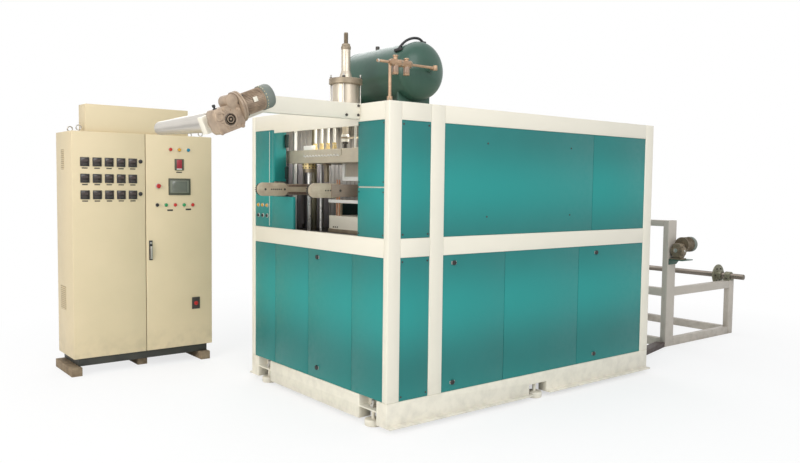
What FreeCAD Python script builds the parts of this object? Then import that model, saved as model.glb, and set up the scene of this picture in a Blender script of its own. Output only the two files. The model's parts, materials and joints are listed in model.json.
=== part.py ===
import FreeCAD, Part
import Sketcher
import os
import re

# Disposable cup making machine: the forming machine, its winder arm, its roof tank and
# cylinder, the control cabinet beside it and the unwinder stand behind it.
# Lengths are millimetres. Places are given from the corner of the forming machine's
# frame where its front end, its near long side and the floor meet: x runs from the
# discharge end to the unwinder, y from the near long side to the far one, z is up.
# The formulas FRONT_X and NEAR_Y then bring the middle of the whole set to the origin.

doc = FreeCAD.newDocument("CupMachine")

SIZES = {
    # frame of the forming machine
    "frame_length": 2820, "frame_width": 1796, "lower_bay": 925, "upper_bay": 748,
    "post_width": 100, "rear_post_width": 106, "tube_depth": 50,
    "side_post_start": 345, "side_post_width": 117,
    "mid_rail_height": 122, "top_rail_height": 115, "rail_tube": 40,
    "lintel_height": 25, "lintel_depth": 12, "lintel_fit": 2,
    "base_bottom": 30, "base_height": 160, "base_depth": 80, "base_end_depth": 100,
    "base_lip": 40, "lip_thickness": 14,
    "foot_radius": 58, "foot_pad": 44, "stud_radius": 13,
    "notch_length": 190, "notch_height": 80, "foot_shelf": 10, "pocket_depth": 78,
    "front_foot_inset": 204, "side_foot_place": 1430,
    # sheet panels
    "panel_thickness": 20, "panel_inset": 5, "panel_fit": 0.5, "seam": 3,
    "upper_seam_inset": 794, "lower_seam_one": 1055, "lower_seam_inset": 944,
    "end_seam_one": 400, "end_seam_two": 948, "end_seam_inset": 366,
    "near_panel_edge": 340, "near_lower_height": 319, "near_split_gap": 9,
    "control_panel_width": 266, "door_hinge_width": 33, "door_lower_width": 319,
    "door_lower_height": 241, "door_rise": 58, "door_top_gap": 2,
    "door_leaf": 100, "door_tilt": 6, "door_hinge_depth": 15,
    "slot_drop": 94, "slot_rise": 96, "slot_edge": 340,
    "roof_thickness": 10, "roof_fit": 0.5, "deck_rise": 100, "deck_thickness": 20,
    "deck_start": 60,
    # forming station
    "bay_shift": 48, "rail_half_gap": 350, "rail_rise": 297, "rail_thickness": 24,
    "nose_height": 97, "nose_length": 250, "nose_reach": 272, "track_height": 41,
    "rail_tail": 140, "cover_thickness": 10, "cover_height": 82, "cover_reach": 106,
    "cover_inset": 130,
    "arm_bar": 60, "rail_arm_inset": 10, "sprocket_radius": 47, "sprocket_width": 34,
    "column_radius": 15, "column_half_gap": 446, "column_front": 225, "column_rear": 930,
    "column_proud": 18, "bore_play": 1, "bush_radius": 39, "bush_drop": 68,
    "white_post": 26, "white_post_front": 222, "white_post_near": 160, "white_post_far": 282,
    "platen_front": 150, "beam_depth": 44, "platen_drop": 368, "platen_height": 98,
    "beam_inset": 188, "plate_half_width": 496, "platen_length": 850,
    "mould_front": 350, "mould_length": 500, "mould_half_width": 180, "mould_drop": 130,
    "lower_front": 300, "lower_length": 600, "lower_half_width": 280, "lower_box": 125,
    "lower_plate_rise": 245, "lower_plate": 24, "pillar_radius": 18, "pillar_inset": 60,
    "pipe_radius": 10, "pipe_front": 205, "pipe_drop": 30, "pipe_pitch": 86,
    "pipe_shift": 327,
    "heater_front": 1320, "heater_rear_gap": 320, "heater_half_width": 330,
    "heater_height": 150, "heater_gap": 110, "hanger_radius": 12, "hanger_inset": 90,
    # roof: cylinder, tank, valves
    "cylinder_place": 252, "barrel_radius": 96, "barrel_height": 186,
    "cap_radius": 121, "cap_height": 42, "base_flange": 6, "neck_radius": 33,
    "neck_foot_radius": 50, "neck_foot_height": 58,
    "neck_height": 208, "collar_radius": 36, "collar_height": 43,
    "screw_radius": 16, "screw_height": 80, "rod_radius": 22, "rod_in": 176,
    "coupling_radius": 31, "coupling_height": 52, "coupling_rise": 54,
    "thin_rod_radius": 11,
    "tank_radius": 208, "tank_wall": 6, "tank_place": 713, "tank_rise": 310,
    "tank_shift": 278, "tank_length": 705, "dish_depth": 104, "dish_margin": 1, "saddle_width": 300,
    "saddle_plate": 14, "saddle_rise": 150, "saddle_inset": 60, "saddle_fit": 0.3,
    "socket_radius": 24, "socket_length": 20,
    "riser_radius": 11, "riser_place": 307, "riser_shift": 450, "riser_flange": 30,
    "run_radius": 9, "run_back": 110, "elbow_radius": 17, "union_radius": 19,
    "union_height": 34, "union_rise": 45,
    "valve_radius": 24, "valve_gap": 12, "valve_length": 165, "bowl_radius": 22,
    "bowl_height": 78, "bowl_inset": 34,
    # winder arm at the discharge end
    "arm_side": 310, "arm_width": 60, "arm_height": 100, "arm_straight": 712,
    "arm_drop": 414, "arm_tilt": 22.5, "hub_inset": 86,
    "gear_length": 168, "gear_height": 140, "gear_depth": 98, "gear_standoff": 60, "gear_back": 84,
    "gear_down": 64, "gear_round": 97, "hub_radius": 30, "hub_proud": 9,
    "worm_radius": 36, "worm_along": 46, "worm_rise": 92, "worm_proud": 6, "motor_rise": 42,
    "ring_radius": 90, "ring_width": 34, "ring_gap": 5, "motor_radius": 66, "motor_length": 138,
    "fan_radius": 71, "fan_length": 68,
    "drum_near_radius": 62, "drum_far_radius": 44, "drum_length": 790, "drum_wall": 6,
    "drum_play": 6, "drum_shaft": 16, "drum_plate": 20, "drum_set": 60,
    # control cabinet
    "cabinet_right": 42, "cabinet_width": 1190, "cabinet_gap": 844,
    "cabinet_depth": 445, "cabinet_bottom": 135, "cabinet_top": 1978,
    "cabinet_wall": 15, "door_thickness": 22, "door_play": 0.8, "door_gap": 5,
    "door_step": 591, "plinth_height": 65, "plinth_inset": 42, "foot_out": 28,
    "cabinet_foot_width": 84, "cabinet_foot_front": 25, "foot_right_inset": 32,
    "top_box_start": 118, "top_box_end": 207, "top_box_height": 222,
    "top_box_inset": 30, "top_box_depth": 180,
    "dial_size": 72, "dial_start": 63, "dial_pitch": 96.5, "dial_top": 1769,
    "dial_drop": 133, "dial_proud": 7,
    "screen_width": 198, "screen_height": 143, "screen_start": 197, "screen_foot": 1466,
    "meter_width": 82, "meter_height": 98, "meter_start": 253, "meter_foot": 1679,
    "bezel_proud": 9,
    "lamp_radius": 12, "lamp_proud": 16, "lamp_level": 1857, "lamp_start": 211,
    "lamp_pitch": 81, "key_level": 1381, "key_start": 93, "key_pitch": 79.5,
    "stop_start": 99, "stop_level": 1543, "stop_radius": 19, "stop_proud": 28,
    "switch_width": 73, "switch_height": 104, "switch_start": 405, "switch_foot": 459,
    "handle_width": 30, "handle_height": 168, "handle_start": 22, "handle_foot": 912,
    "handle_proud": 24,
    "eye_radius": 20, "eye_wire": 5, "eye_edge": 75, "eye_front": 68, "eye_back": 136,
    # unwinder stand
    "stand_gap": 1035, "stand_reach": 1295, "stand_near": 480, "stand_far": 1620,
    "stand_post_width": 140, "stand_tube": 60, "stand_height": 1258,
    "stand_bar": 80, "stand_top_bar": 60, "stand_mid_level": 503, "end_post_width": 96,
    "shaft_radius": 29, "shaft_level": 630, "shaft_inset": 62, "shaft_near_out": 140,
    "shaft_far_out": 70, "bearing_length": 120, "bearing_flange": 16, "bearing_round": 45,
    "bearing_play": 0.4, "disc_radius": 114, "disc_width": 14, "disc_place": 86, "boss_radius": 50,
    "boss_width": 46,
    "bracket_start": 12, "bracket_reach": 190, "bracket_out": 150, "bracket_top": 878,
    "bracket_plate": 10, "bracket_web": 45,
    "feed_gear_length": 105, "feed_gear_height": 165, "feed_gear_depth": 110,
    "feed_motor_radius": 75, "feed_motor_length": 175, "feed_motor_level": 142,
    "tray_width": 90, "tray_height": 45, "tray_near": 243, "tray_turn": 13.3,
    "tray_fit": 0.3,
}

# Places and lengths that follow from those sizes.
DERIVED = {
    "base_top": "base_bottom + base_height",
    "mid_rail_bottom": "base_top + lower_bay",
    "mid_rail_top": "mid_rail_bottom + mid_rail_height",
    "frame_height": "mid_rail_top + upper_bay + top_rail_height",
    "upper_seam": "frame_length - upper_seam_inset",
    "lower_seam_two": "frame_length - lower_seam_inset",
    "end_seam_three": "frame_width - end_seam_inset",
    "near_panel_split": "mid_rail_top + near_lower_height",
    "control_panel_edge": "frame_width - tube_depth - control_panel_width",
    "door_hinge": "control_panel_edge - door_hinge_width",
    "door_lower_edge": "control_panel_edge - door_lower_width",
    "door_lower_top": "mid_rail_top + door_lower_height",
    "door_upper_bottom": "rail_level + door_rise",
    "door_upper_top": "frame_height - top_rail_height - door_top_gap",
    "slot_bottom": "rail_level - slot_drop",
    "slot_top": "rail_level + slot_rise",
    "deck_top": "mid_rail_bottom + deck_rise",
    "bay_middle": "frame_width / 2 - bay_shift",
    "rail_level": "mid_rail_top + rail_rise",
    "cover_stop": "frame_length - cover_inset",
    "beam_half_length": "bay_middle - beam_inset",
    "platen_bottom": "frame_height - platen_drop",
    "lower_plate_top": "deck_top + lower_plate_rise",
    "pipe_start": "bay_middle + pipe_shift",
    "pipe_top": "frame_height - pipe_drop",
    "heater_length": "frame_length - heater_front - heater_rear_gap",
    "tank_start": "bay_middle - tank_shift",
    "tank_level": "frame_height + tank_rise",
    "riser_depth": "bay_middle - riser_shift",
    "cabinet_front": "frame_width + cabinet_gap",
    "top_box_width": "cabinet_width - top_box_start - top_box_end",
    "stand_start": "frame_length + stand_gap",
}

sheet = doc.addObject("Spreadsheet::Sheet", "Sizes")
for row, (name, value) in enumerate(SIZES.items(), start=1):
    sheet.set(f"A{row}", name)
    sheet.set(f"B{row}", str(value))
    sheet.setAlias(f"B{row}", name)
doc.recompute()

LEFT_REACH = "(cabinet_width - cabinet_right + foot_out)"
RIGHT_REACH = "(stand_start + stand_reach - shaft_inset + disc_radius)"
FAR_REACH = "(cabinet_front + cabinet_depth)"
FRONT_X = f"({LEFT_REACH} - {RIGHT_REACH}) / 2"
NEAR_Y = f"(base_lip - {FAR_REACH}) / 2"

ALONG_X = FreeCAD.Rotation(FreeCAD.Vector(0, 1, 0), 90)
ALONG_Y = FreeCAD.Rotation(FreeCAD.Vector(1, 0, 0), -90)
NODES = []


def sized(formula):
    """Point each size named in a formula at its cell, and write a derived name out."""

    def spelled(match):
        word = match.group()
        if word in DERIVED:
            return f"({sized(DERIVED[word])})"
        return f"Sizes.{word}" if word in SIZES else word

    return re.sub(r"[a-z_]+", spelled, str(formula))


def bind(piece, **sizes):
    for prop, formula in sizes.items():
        piece.setExpression(prop, sized(formula))
    return piece


def place(piece, x, y, z, turn=None):
    if turn:
        piece.Placement = FreeCAD.Placement(FreeCAD.Vector(), turn)
    piece.setExpression("Placement.Base.x", sized(f"{FRONT_X} + ({x})"))
    piece.setExpression("Placement.Base.y", sized(f"{NEAR_Y} + ({y})"))
    piece.setExpression("Placement.Base.z", sized(z))
    return piece


def box(x, y, z, length, width, height, turn=None):
    piece = doc.addObject("Part::Box", "Block")
    bind(piece, Length=length, Width=width, Height=height)
    return place(piece, x, y, z, turn)


def rod(x, y, z, radius, length, turn=None):
    piece = doc.addObject("Part::Cylinder", "Rod")
    bind(piece, Radius=radius, Height=length)
    return place(piece, x, y, z, turn)


def cone(x, y, z, radius_start, radius_stop, length, turn=None):
    piece = doc.addObject("Part::Cone", "Cone")
    bind(piece, Radius1=radius_start, Radius2=radius_stop, Height=length)
    return place(piece, x, y, z, turn)


def fused(pieces):
    piece = doc.addObject("Part::MultiFuse", "Joined")
    piece.Shapes = pieces
    piece.Refine = True
    return piece


def cut(base, tools):
    piece = doc.addObject("Part::Cut", "Cut")
    piece.Base = base
    piece.Tool = tools[0] if len(tools) == 1 else fused(tools)
    return piece


def common(first, second):
    piece = doc.addObject("Part::Common", "Overlap")
    piece.Base = first
    piece.Tool = second
    return piece


def node(label, pieces):
    """Name one sub-part: a single piece, or like pieces that don't touch."""
    if len(pieces) == 1:
        piece = pieces[0]
    else:
        piece = doc.addObject("Part::Compound", "Group")
        piece.Links = pieces
    piece.Label = label
    NODES.append(piece)
    return piece


def worth(formula):
    """Work a formula out with the sheet's present values."""
    return float(sheet.evalExpression(sized(formula).replace("Sizes.", "")))


def outline(body, points):
    """Draw a closed outline of straight sides on the body's XZ plane, each corner tied to its formulas."""
    sketch = body.newObject("Sketcher::SketchObject", "Outline")
    plane = [feature for feature in body.Origin.OriginFeatures if feature.Role == "XZ_Plane"][0]
    sketch.AttachmentSupport = [(plane, "")]
    sketch.MapMode = "FlatFace"
    corners = [FreeCAD.Vector(worth(x), worth(z), 0) for x, z in points]
    count = len(points)
    for index in range(count):
        sketch.addGeometry(Part.LineSegment(corners[index], corners[(index + 1) % count]), False)
    for index in range(count):
        sketch.addConstraint(Sketcher.Constraint("Coincident", index, 2, (index + 1) % count, 1))
    for index, (x, z) in enumerate(points):
        for kind, formula, value in (
            ("DistanceX", x, corners[index].x),
            ("DistanceY", z, corners[index].y),
        ):
            number = sketch.addConstraint(Sketcher.Constraint(kind, -1, 1, index, 1, value))
            sketch.setExpression(f"Constraints[{number}]", sized(formula))
    return sketch


def plate(x, y, z, points, thickness):
    """Pad an outline in x and z towards the far side, from a corner at x, y, z."""
    body = doc.addObject("PartDesign::Body", "Plate")
    sketch = outline(body, points)
    pad = body.newObject("PartDesign::Pad", "Thickness")
    pad.Profile = sketch
    pad.Reversed = True
    bind(pad, Length=thickness)
    body.Tip = pad
    return place(body, x, y, z)


def on_slope(along, up):
    """A point by its distances along and across the winder arm's sloping end, from its hub."""
    x = f"({HUB_X} + ({along}) * cos(arm_tilt) - ({up}) * sin(arm_tilt))"
    z = f"({HUB_Z} + ({along}) * sin(arm_tilt) + ({up}) * cos(arm_tilt))"
    return x, z


def tilted(piece, along, up, y, extra=0):
    """Set a piece on the winder arm's sloping end, turned with it."""
    x, z = on_slope(along, up)
    place(piece, x, y, z, FreeCAD.Rotation(FreeCAD.Vector(0, 1, 0), 10))
    piece.setExpression("Placement.Rotation.Angle", sized(f"{extra} - arm_tilt"))
    return piece


# The base: two long channels with a lip along the outside and two end beams, cut away
# over the levelling feet.
FOOT_X = "base_end_depth / 2"
REAR_X = "(frame_length - base_end_depth / 2)"
FOOT_ENDS = [(FOOT_X, "front_foot_inset"), (FOOT_X, "(frame_width - front_foot_inset)"),
             (REAR_X, "front_foot_inset"), (REAR_X, "(frame_width - front_foot_inset)")]
FOOT_SIDES = [("side_foot_place", "base_depth / 2"),
              ("side_foot_place", "(frame_width - base_depth / 2)")]

side_beams = []
for y, lip_y in (("0", "-base_lip"), ("frame_width - base_depth", "frame_width")):
    beam = box("0", y, "base_bottom", "frame_length", "base_depth", "base_height")
    lip = box("0", lip_y, "base_bottom", "frame_length", "base_lip", "lip_thickness")
    notch = box(f"side_foot_place - notch_length / 2", f"{y} - base_lip", "base_bottom",
                "notch_length", "base_depth + 2 * base_lip", "notch_height")
    side_beams.append(cut(fused([beam, lip]), [notch]))
node("base_side_beams", side_beams)

NOTCH_TOP = "(base_bottom + notch_height)"
end_beams = []
for x, pocket_x in (("0", "0"),
                    ("frame_length - base_end_depth", "frame_length - pocket_depth")):
    beam = box(x, "base_depth", "base_bottom", "base_end_depth",
               "frame_width - 2 * base_depth", "base_height")
    notches = [box(x, f"{y} - notch_length / 2", "base_bottom", "base_end_depth",
                   "notch_length", "notch_height")
               for foot_x, y in FOOT_ENDS[:2]]
    pockets = [box(pocket_x, f"{y} - notch_length / 2", f"{NOTCH_TOP} + foot_shelf", "pocket_depth",
                   "notch_length", f"base_top - {NOTCH_TOP} - foot_shelf")
               for foot_x, y in FOOT_ENDS[:2]]
    end_beams.append(cut(beam, notches + pockets))
node("base_end_beams", end_beams)

feet = []
for x, y in FOOT_ENDS + FOOT_SIDES:
    pad = rod(x, y, "0", "foot_radius", "foot_pad")
    stud = rod(x, y, "foot_pad", "stud_radius", f"{NOTCH_TOP} - foot_pad")
    feet.append(fused([pad, stud]))
node("levelling_feet", feet)

# The frame: corner posts, one more post down each long side, rails at mid height and
# along the top.
POST_HEIGHT = "frame_height - base_top"
SIDES = ("0", "frame_width - tube_depth")
REAR_POST = "(frame_length - rear_post_width)"
SIDE_POST_END = "(side_post_start + side_post_width)"
TOP_RAIL = "(frame_height - top_rail_height)"
INNER_WIDTH = "frame_width - 2 * tube_depth"
POSTS = [("0", "post_width"), ("side_post_start", "side_post_width"),
         (REAR_POST, "rear_post_width")]
BAYS = [("post_width", "side_post_start"), (SIDE_POST_END, REAR_POST)]

node("frame_posts", [box(x, y, "base_top", width, "tube_depth", POST_HEIGHT)
                     for x, width in POSTS for y in SIDES])
mid_rails = [box(start, y, "mid_rail_bottom", f"{stop} - {start}", "tube_depth", "mid_rail_height")
             for start, stop in BAYS for y in SIDES]
mid_rails += [box(x, "tube_depth", "mid_rail_bottom", "rail_tube", INNER_WIDTH, "mid_rail_height")
              for x in ("0", "frame_length - rail_tube")]
node("mid_rails", mid_rails)
top_rails = [box(start, y, TOP_RAIL, f"{stop} - {start}", "tube_depth", "top_rail_height")
             for start, stop in BAYS for y in SIDES]
front_rail = box("0", "tube_depth", TOP_RAIL, "rail_tube", INNER_WIDTH, "top_rail_height")
lintel = box("0", "near_panel_edge + lintel_fit", f"{TOP_RAIL} - lintel_height", "lintel_depth",
             "door_hinge - near_panel_edge - 2 * lintel_fit", "lintel_height")
top_rails.append(fused([front_rail, lintel]))
top_rails.append(box("frame_length - rail_tube", "tube_depth", TOP_RAIL, "rail_tube", INNER_WIDTH,
                     "top_rail_height"))
node("top_rails", top_rails)

# Sheet panels, each set a little behind the frame's face, with a seam between panels of
# one bay.


def side_panels(bays, bottom, top):
    """Panels of both long sides between two levels."""
    panels = []
    for y in ("panel_inset", "frame_width - panel_inset - panel_thickness"):
        for start, stop in bays:
            panels.append(box(start, y, f"{bottom} + panel_fit", f"{stop} - ({start})",
                              "panel_thickness", f"{top} - {bottom} - 2 * panel_fit"))
    return panels


def split_bay(start, seams, stop):
    """Starts and ends of the panels of one bay, from its edges and its seams."""
    edges = [f"{start} + panel_fit"]
    for place_of_seam in seams:
        edges += [f"{place_of_seam} - seam / 2", f"{place_of_seam} + seam / 2"]
    edges.append(f"{stop} - panel_fit")
    return list(zip(edges[::2], edges[1::2]))


NARROW = split_bay("post_width", [], "side_post_start")
UPPER = NARROW + split_bay(SIDE_POST_END, ["upper_seam"], REAR_POST)
LOWER = NARROW + split_bay(SIDE_POST_END, ["lower_seam_one", "lower_seam_two"], REAR_POST)
node("side_upper_panels", side_panels(UPPER, "mid_rail_top", TOP_RAIL))
node("side_lower_panels", side_panels(LOWER, "base_top", "mid_rail_bottom"))

END_WIDTH = ("tube_depth", "(frame_width - tube_depth)")
PANEL_REAR_X = "frame_length - panel_inset - panel_thickness"
LOWER_PANEL = "mid_rail_bottom - base_top - 2 * panel_fit"


def end_panel(x, start, stop, bottom, height):
    return box(x, start, bottom, "panel_thickness", f"{stop} - ({start})", height)


ends = split_bay(END_WIDTH[0], ["end_seam_one", "end_seam_two", "end_seam_three"], END_WIDTH[1])
node("end_lower_panels", [end_panel(x, start, stop, "base_top + panel_fit", LOWER_PANEL)
                          for x in ("panel_inset", PANEL_REAR_X) for start, stop in ends])

UPPER_FLOOR = "(mid_rail_top + panel_fit)"
UPPER_ROOF = f"({TOP_RAIL} - panel_fit)"
FAR_EDGE = "(frame_width - slot_edge)"
near_rear, middle_rear, far_rear = split_bay(END_WIDTH[0], ["slot_edge", FAR_EDGE], END_WIDTH[1])
node("rear_upper_panels", [
    end_panel(PANEL_REAR_X, *near_rear, UPPER_FLOOR, f"{UPPER_ROOF} - {UPPER_FLOOR}"),
    end_panel(PANEL_REAR_X, *far_rear, UPPER_FLOOR, f"{UPPER_ROOF} - {UPPER_FLOOR}"),
    end_panel(PANEL_REAR_X, *middle_rear, UPPER_FLOOR, f"slot_bottom - {UPPER_FLOOR}"),
    end_panel(PANEL_REAR_X, *middle_rear, "slot_top", f"{UPPER_ROOF} - slot_top"),
])

node("control_panel", [end_panel("panel_inset", "control_panel_edge", f"{END_WIDTH[1]} - panel_fit",
                                 UPPER_FLOOR, f"{UPPER_ROOF} - {UPPER_FLOOR}")])
SPLIT_TOP = "(near_panel_split + near_split_gap)"
node("front_near_panels", [
    end_panel("panel_inset", "tube_depth + panel_fit", "near_panel_edge", UPPER_FLOOR,
              f"near_panel_split - {UPPER_FLOOR}"),
    end_panel("panel_inset", "tube_depth + panel_fit", "near_panel_edge", SPLIT_TOP,
              f"{UPPER_ROOF} - {SPLIT_TOP}"),
])

# The folding door beside the control panel: its lower leaf closed, its upper leaf turned in.
lower_leaf = end_panel("panel_inset", "door_lower_edge", "control_panel_edge - panel_fit",
                       UPPER_FLOOR, f"door_lower_top - {UPPER_FLOOR}")
hinge_strip = end_panel("panel_inset", "door_hinge", "control_panel_edge - panel_fit",
                        "door_upper_bottom", "door_upper_top - door_upper_bottom")
upper_leaf = box("door_hinge_depth", "door_hinge", "door_upper_bottom", "door_leaf",
                 "panel_thickness", "door_upper_top - door_upper_bottom",
                 FreeCAD.Rotation(FreeCAD.Vector(0, 0, 1), 10))
upper_leaf.setExpression("Placement.Rotation.Angle", sized("door_tilt"))
node("folding_door", [lower_leaf, fused([hinge_strip, upper_leaf])])

# Roof sheet and the deck inside the frame at mid height.
roof = box("rail_tube + roof_fit", "tube_depth + roof_fit", "frame_height - roof_thickness",
           "frame_length - 2 * rail_tube - 2 * roof_fit", f"{INNER_WIDTH} - 2 * roof_fit",
           "roof_thickness")
roof_hole = rod("cylinder_place", "bay_middle", "frame_height - 2 * roof_thickness",
                "rod_radius + bore_play", "3 * roof_thickness")
node("roof_plate", [cut(roof, [roof_hole])])
node("forming_deck", [box("deck_start", "tube_depth", "deck_top - deck_thickness",
                          f"{REAR_POST} - deck_start", INNER_WIDTH, "deck_thickness")])

# Chain rails: upright bars with paddle-shaped noses that carry the chains through the
# machine, their guards, sprockets and the arms that hold them to the posts.
RAILS = ("bay_middle - rail_half_gap", "bay_middle + rail_half_gap")
NOSE_R = "nose_height / 2"
rails = []
for middle in RAILS:
    inner = f"{middle} - rail_thickness / 2"
    paddle = box(f"{NOSE_R} - nose_reach", inner, f"rail_level - {NOSE_R}",
                 "nose_length - nose_height", "rail_thickness", "nose_height")
    tips = [rod(x, inner, "rail_level", NOSE_R, "rail_thickness", ALONG_Y)
            for x in (f"{NOSE_R} - nose_reach", f"nose_length - {NOSE_R} - nose_reach")]
    track = box("nose_length - nose_height - nose_reach", inner, "rail_level - track_height / 2",
                "frame_length + rail_tail + nose_reach + nose_height - nose_length",
                "rail_thickness", "track_height")
    rails.append(fused([paddle, track] + tips))
node("chain_rail_near", [rails[0]])
node("chain_rail_far", [rails[1]])
COVERS = (f"{RAILS[0]} - rail_thickness / 2 - cover_thickness", f"{RAILS[1]} + rail_thickness / 2")
node("rail_guards", [box("-cover_reach", y, "rail_level - cover_height / 2",
                         "cover_stop + cover_reach", "cover_thickness", "cover_height")
                     for y in COVERS])
node("chain_sprockets", [rod(f"{NOSE_R} - nose_reach", f"{middle} + rail_thickness / 2",
                             "rail_level", "sprocket_radius", "sprocket_width", ALONG_Y)
                         for middle in RAILS])
rail_arms = []
for x in (f"side_post_start + (side_post_width - arm_bar) / 2", f"{REAR_POST} + rail_arm_inset"):
    rail_arms.append(box(x, "tube_depth", "rail_level - arm_bar / 2", "arm_bar",
                         f"{COVERS[0]} - tube_depth", "arm_bar"))
    rail_arms.append(box(x, f"{COVERS[1]} + cover_thickness", f"rail_level - arm_bar / 2", "arm_bar",
                         f"frame_width - tube_depth - cover_thickness - ({COVERS[1]})", "arm_bar"))
node("rail_arms", rail_arms)

# Forming station: guide columns on the deck, white posts up to the roof, the beam and plate
# that the roof cylinder drives, the upper mould under it and the lower mould on the deck.
ROOF_UNDER = "(frame_height - roof_thickness)"
COLUMN_YS = ("bay_middle - column_half_gap", "bay_middle + column_half_gap")
COLUMNS = [(x, y) for x in ("column_front", "column_rear") for y in COLUMN_YS]
PLATEN_TOP = "(platen_bottom + platen_height)"
node("guide_columns", [rod(x, y, "deck_top", "column_radius",
                           f"{PLATEN_TOP} + column_proud - deck_top")
                       for x, y in COLUMNS])
node("white_posts", [box("white_post_front", y, "deck_top", "white_post", "white_post",
                         f"{ROOF_UNDER} - deck_top")
                     for y in ("white_post_near", "frame_width - white_post_far")])

front_beam = box("platen_front", "bay_middle - beam_half_length", "platen_bottom", "beam_depth",
                 "2 * beam_half_length", "platen_height")
plate_block = box("platen_front", "bay_middle - plate_half_width", "platen_bottom",
                  "platen_length", "2 * plate_half_width", "platen_height")
bushes = [rod(x, y, "platen_bottom - bush_drop", "bush_radius", "bush_drop") for x, y in COLUMNS]
bores = [rod(x, y, "platen_bottom - 2 * bush_drop", "column_radius + bore_play",
             "2 * platen_height + 2 * bush_drop") for x, y in COLUMNS]
node("upper_platen", [cut(fused([front_beam, plate_block] + bushes), bores)])
node("upper_mould", [box("mould_front", "bay_middle - mould_half_width", "platen_bottom - mould_drop",
                         "mould_length", "2 * mould_half_width", "mould_drop")])

PIPES = [f"pipe_start - {index} * pipe_pitch" for index in range(4)]
node("platen_pipes", [rod("pipe_front", y, PLATEN_TOP, "pipe_radius", f"pipe_top - {PLATEN_TOP}")
                      for y in PIPES])

lower_box = box("lower_front", "bay_middle - lower_half_width", "deck_top", "lower_length",
                "2 * lower_half_width", "lower_box")
PILLAR_FOOT = "(deck_top + lower_box)"
PLATE_FOOT = "(lower_plate_top - lower_plate)"
node("lower_mould_box", [lower_box])
pillars = [rod(x, y, PILLAR_FOOT, "pillar_radius", f"{PLATE_FOOT} - {PILLAR_FOOT}")
           for x in ("lower_front + pillar_inset", "lower_front + lower_length - pillar_inset")
           for y in ("bay_middle - lower_half_width + pillar_inset",
                     "bay_middle + lower_half_width - pillar_inset")]
lower_plate = box("lower_front", "bay_middle - lower_half_width", PLATE_FOOT, "lower_length",
                  "2 * lower_half_width", "lower_plate")
node("lower_platen", [fused(pillars + [lower_plate])])

# Heater boxes above and below the path of the sheet, hung from the roof and set on the deck.
HEATER_LOW = "(rail_level - heater_gap - heater_height)"
HEATER_HIGH = "(rail_level + heater_gap)"
HANGERS = [(x, y) for x in ("heater_front + hanger_inset",
                            "heater_front + heater_length - hanger_inset")
           for y in ("bay_middle - heater_half_width + hanger_inset",
                     "bay_middle + heater_half_width - hanger_inset")]
upper_heater = fused(
    [box("heater_front", "bay_middle - heater_half_width", HEATER_HIGH, "heater_length",
         "2 * heater_half_width", "heater_height")]
    + [rod(x, y, f"{HEATER_HIGH} + heater_height", "hanger_radius",
           f"{ROOF_UNDER} - {HEATER_HIGH} - heater_height") for x, y in HANGERS])
lower_heater = fused(
    [box("heater_front", "bay_middle - heater_half_width", HEATER_LOW, "heater_length",
         "2 * heater_half_width", "heater_height")]
    + [rod(x, y, "deck_top", "hanger_radius", f"{HEATER_LOW} - deck_top") for x, y in HANGERS])
node("heater_boxes", [upper_heater, lower_heater])

# Roof cylinder: base flange, barrel, cap, upper tube, collar and adjusting screw, with a
# blind bore for the rod that moves the beam.
stack = [("cap_radius", "base_flange"), ("barrel_radius", "barrel_height"),
         ("cap_radius", "cap_height"), ("neck_radius", "neck_height"),
         ("collar_radius", "collar_height"), ("screw_radius", "screw_height")]
discs = []
level = "frame_height"
for radius, height in stack:
    discs.append(rod("cylinder_place", "bay_middle", level, radius, height))
    level = f"{level} + {height}"
discs.append(cone("cylinder_place", "bay_middle",
                  "frame_height + base_flange + barrel_height + cap_height", "neck_foot_radius",
                  "neck_radius", "neck_foot_height"))
blind = rod("cylinder_place", "bay_middle", "frame_height", "rod_radius + bore_play",
            "base_flange + barrel_height")
node("main_cylinder", [cut(fused(discs), [blind])])
COUPLING_FOOT = f"({PLATEN_TOP} + coupling_rise)"
COUPLING_TOP = f"({COUPLING_FOOT} + coupling_height)"
node("cylinder_rod", [fused([
    rod("cylinder_place", "bay_middle", PLATEN_TOP, "thin_rod_radius", "coupling_rise"),
    rod("cylinder_place", "bay_middle", COUPLING_FOOT, "coupling_radius", "coupling_height"),
    rod("cylinder_place", "bay_middle", COUPLING_TOP, "rod_radius",
        f"frame_height + rod_in - {COUPLING_TOP}"),
])])

# Air tank on the roof: a shell with dished ends on two saddles.
TANK_END = "(tank_start + tank_length)"
shell = rod("tank_place", "tank_start", "tank_level", "tank_radius", "tank_length", ALONG_Y)
hollow = rod("tank_place", "tank_start", "tank_level", "tank_radius - tank_wall", "tank_length",
             ALONG_Y)
node("tank_shell", [cut(shell, [hollow])])
SOCKET_FACE = "(tank_start - dish_depth - socket_length)"
heads = []
for y, rim_y in (("tank_start", "tank_start - dish_depth - dish_margin"), (TANK_END, TANK_END)):
    dish = doc.addObject("Part::Ellipsoid", "Dish")
    bind(dish, Radius1="tank_radius", Radius2="tank_radius", Radius3="dish_depth")
    place(dish, "tank_place", y, "tank_level")
    rim = rod("tank_place", rim_y, "tank_level", "tank_radius + dish_margin",
              "dish_depth + dish_margin", ALONG_Y)
    heads.append(common(dish, rim))
socket = rod("tank_place", SOCKET_FACE, "tank_level", "socket_radius", "2 * socket_length", ALONG_Y)
node("tank_heads", [fused([heads[0], socket]), heads[1]])
saddles = []
for y in ("tank_start + saddle_inset", f"{TANK_END} - saddle_inset - saddle_plate"):
    block = box("tank_place - saddle_width / 2", y, "frame_height", "saddle_width", "saddle_plate",
                "saddle_rise")
    seat = rod("tank_place", y, "tank_level", "tank_radius + saddle_fit", "saddle_plate", ALONG_Y)
    saddles.append(cut(block, [seat]))
node("tank_saddles", saddles)

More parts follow.
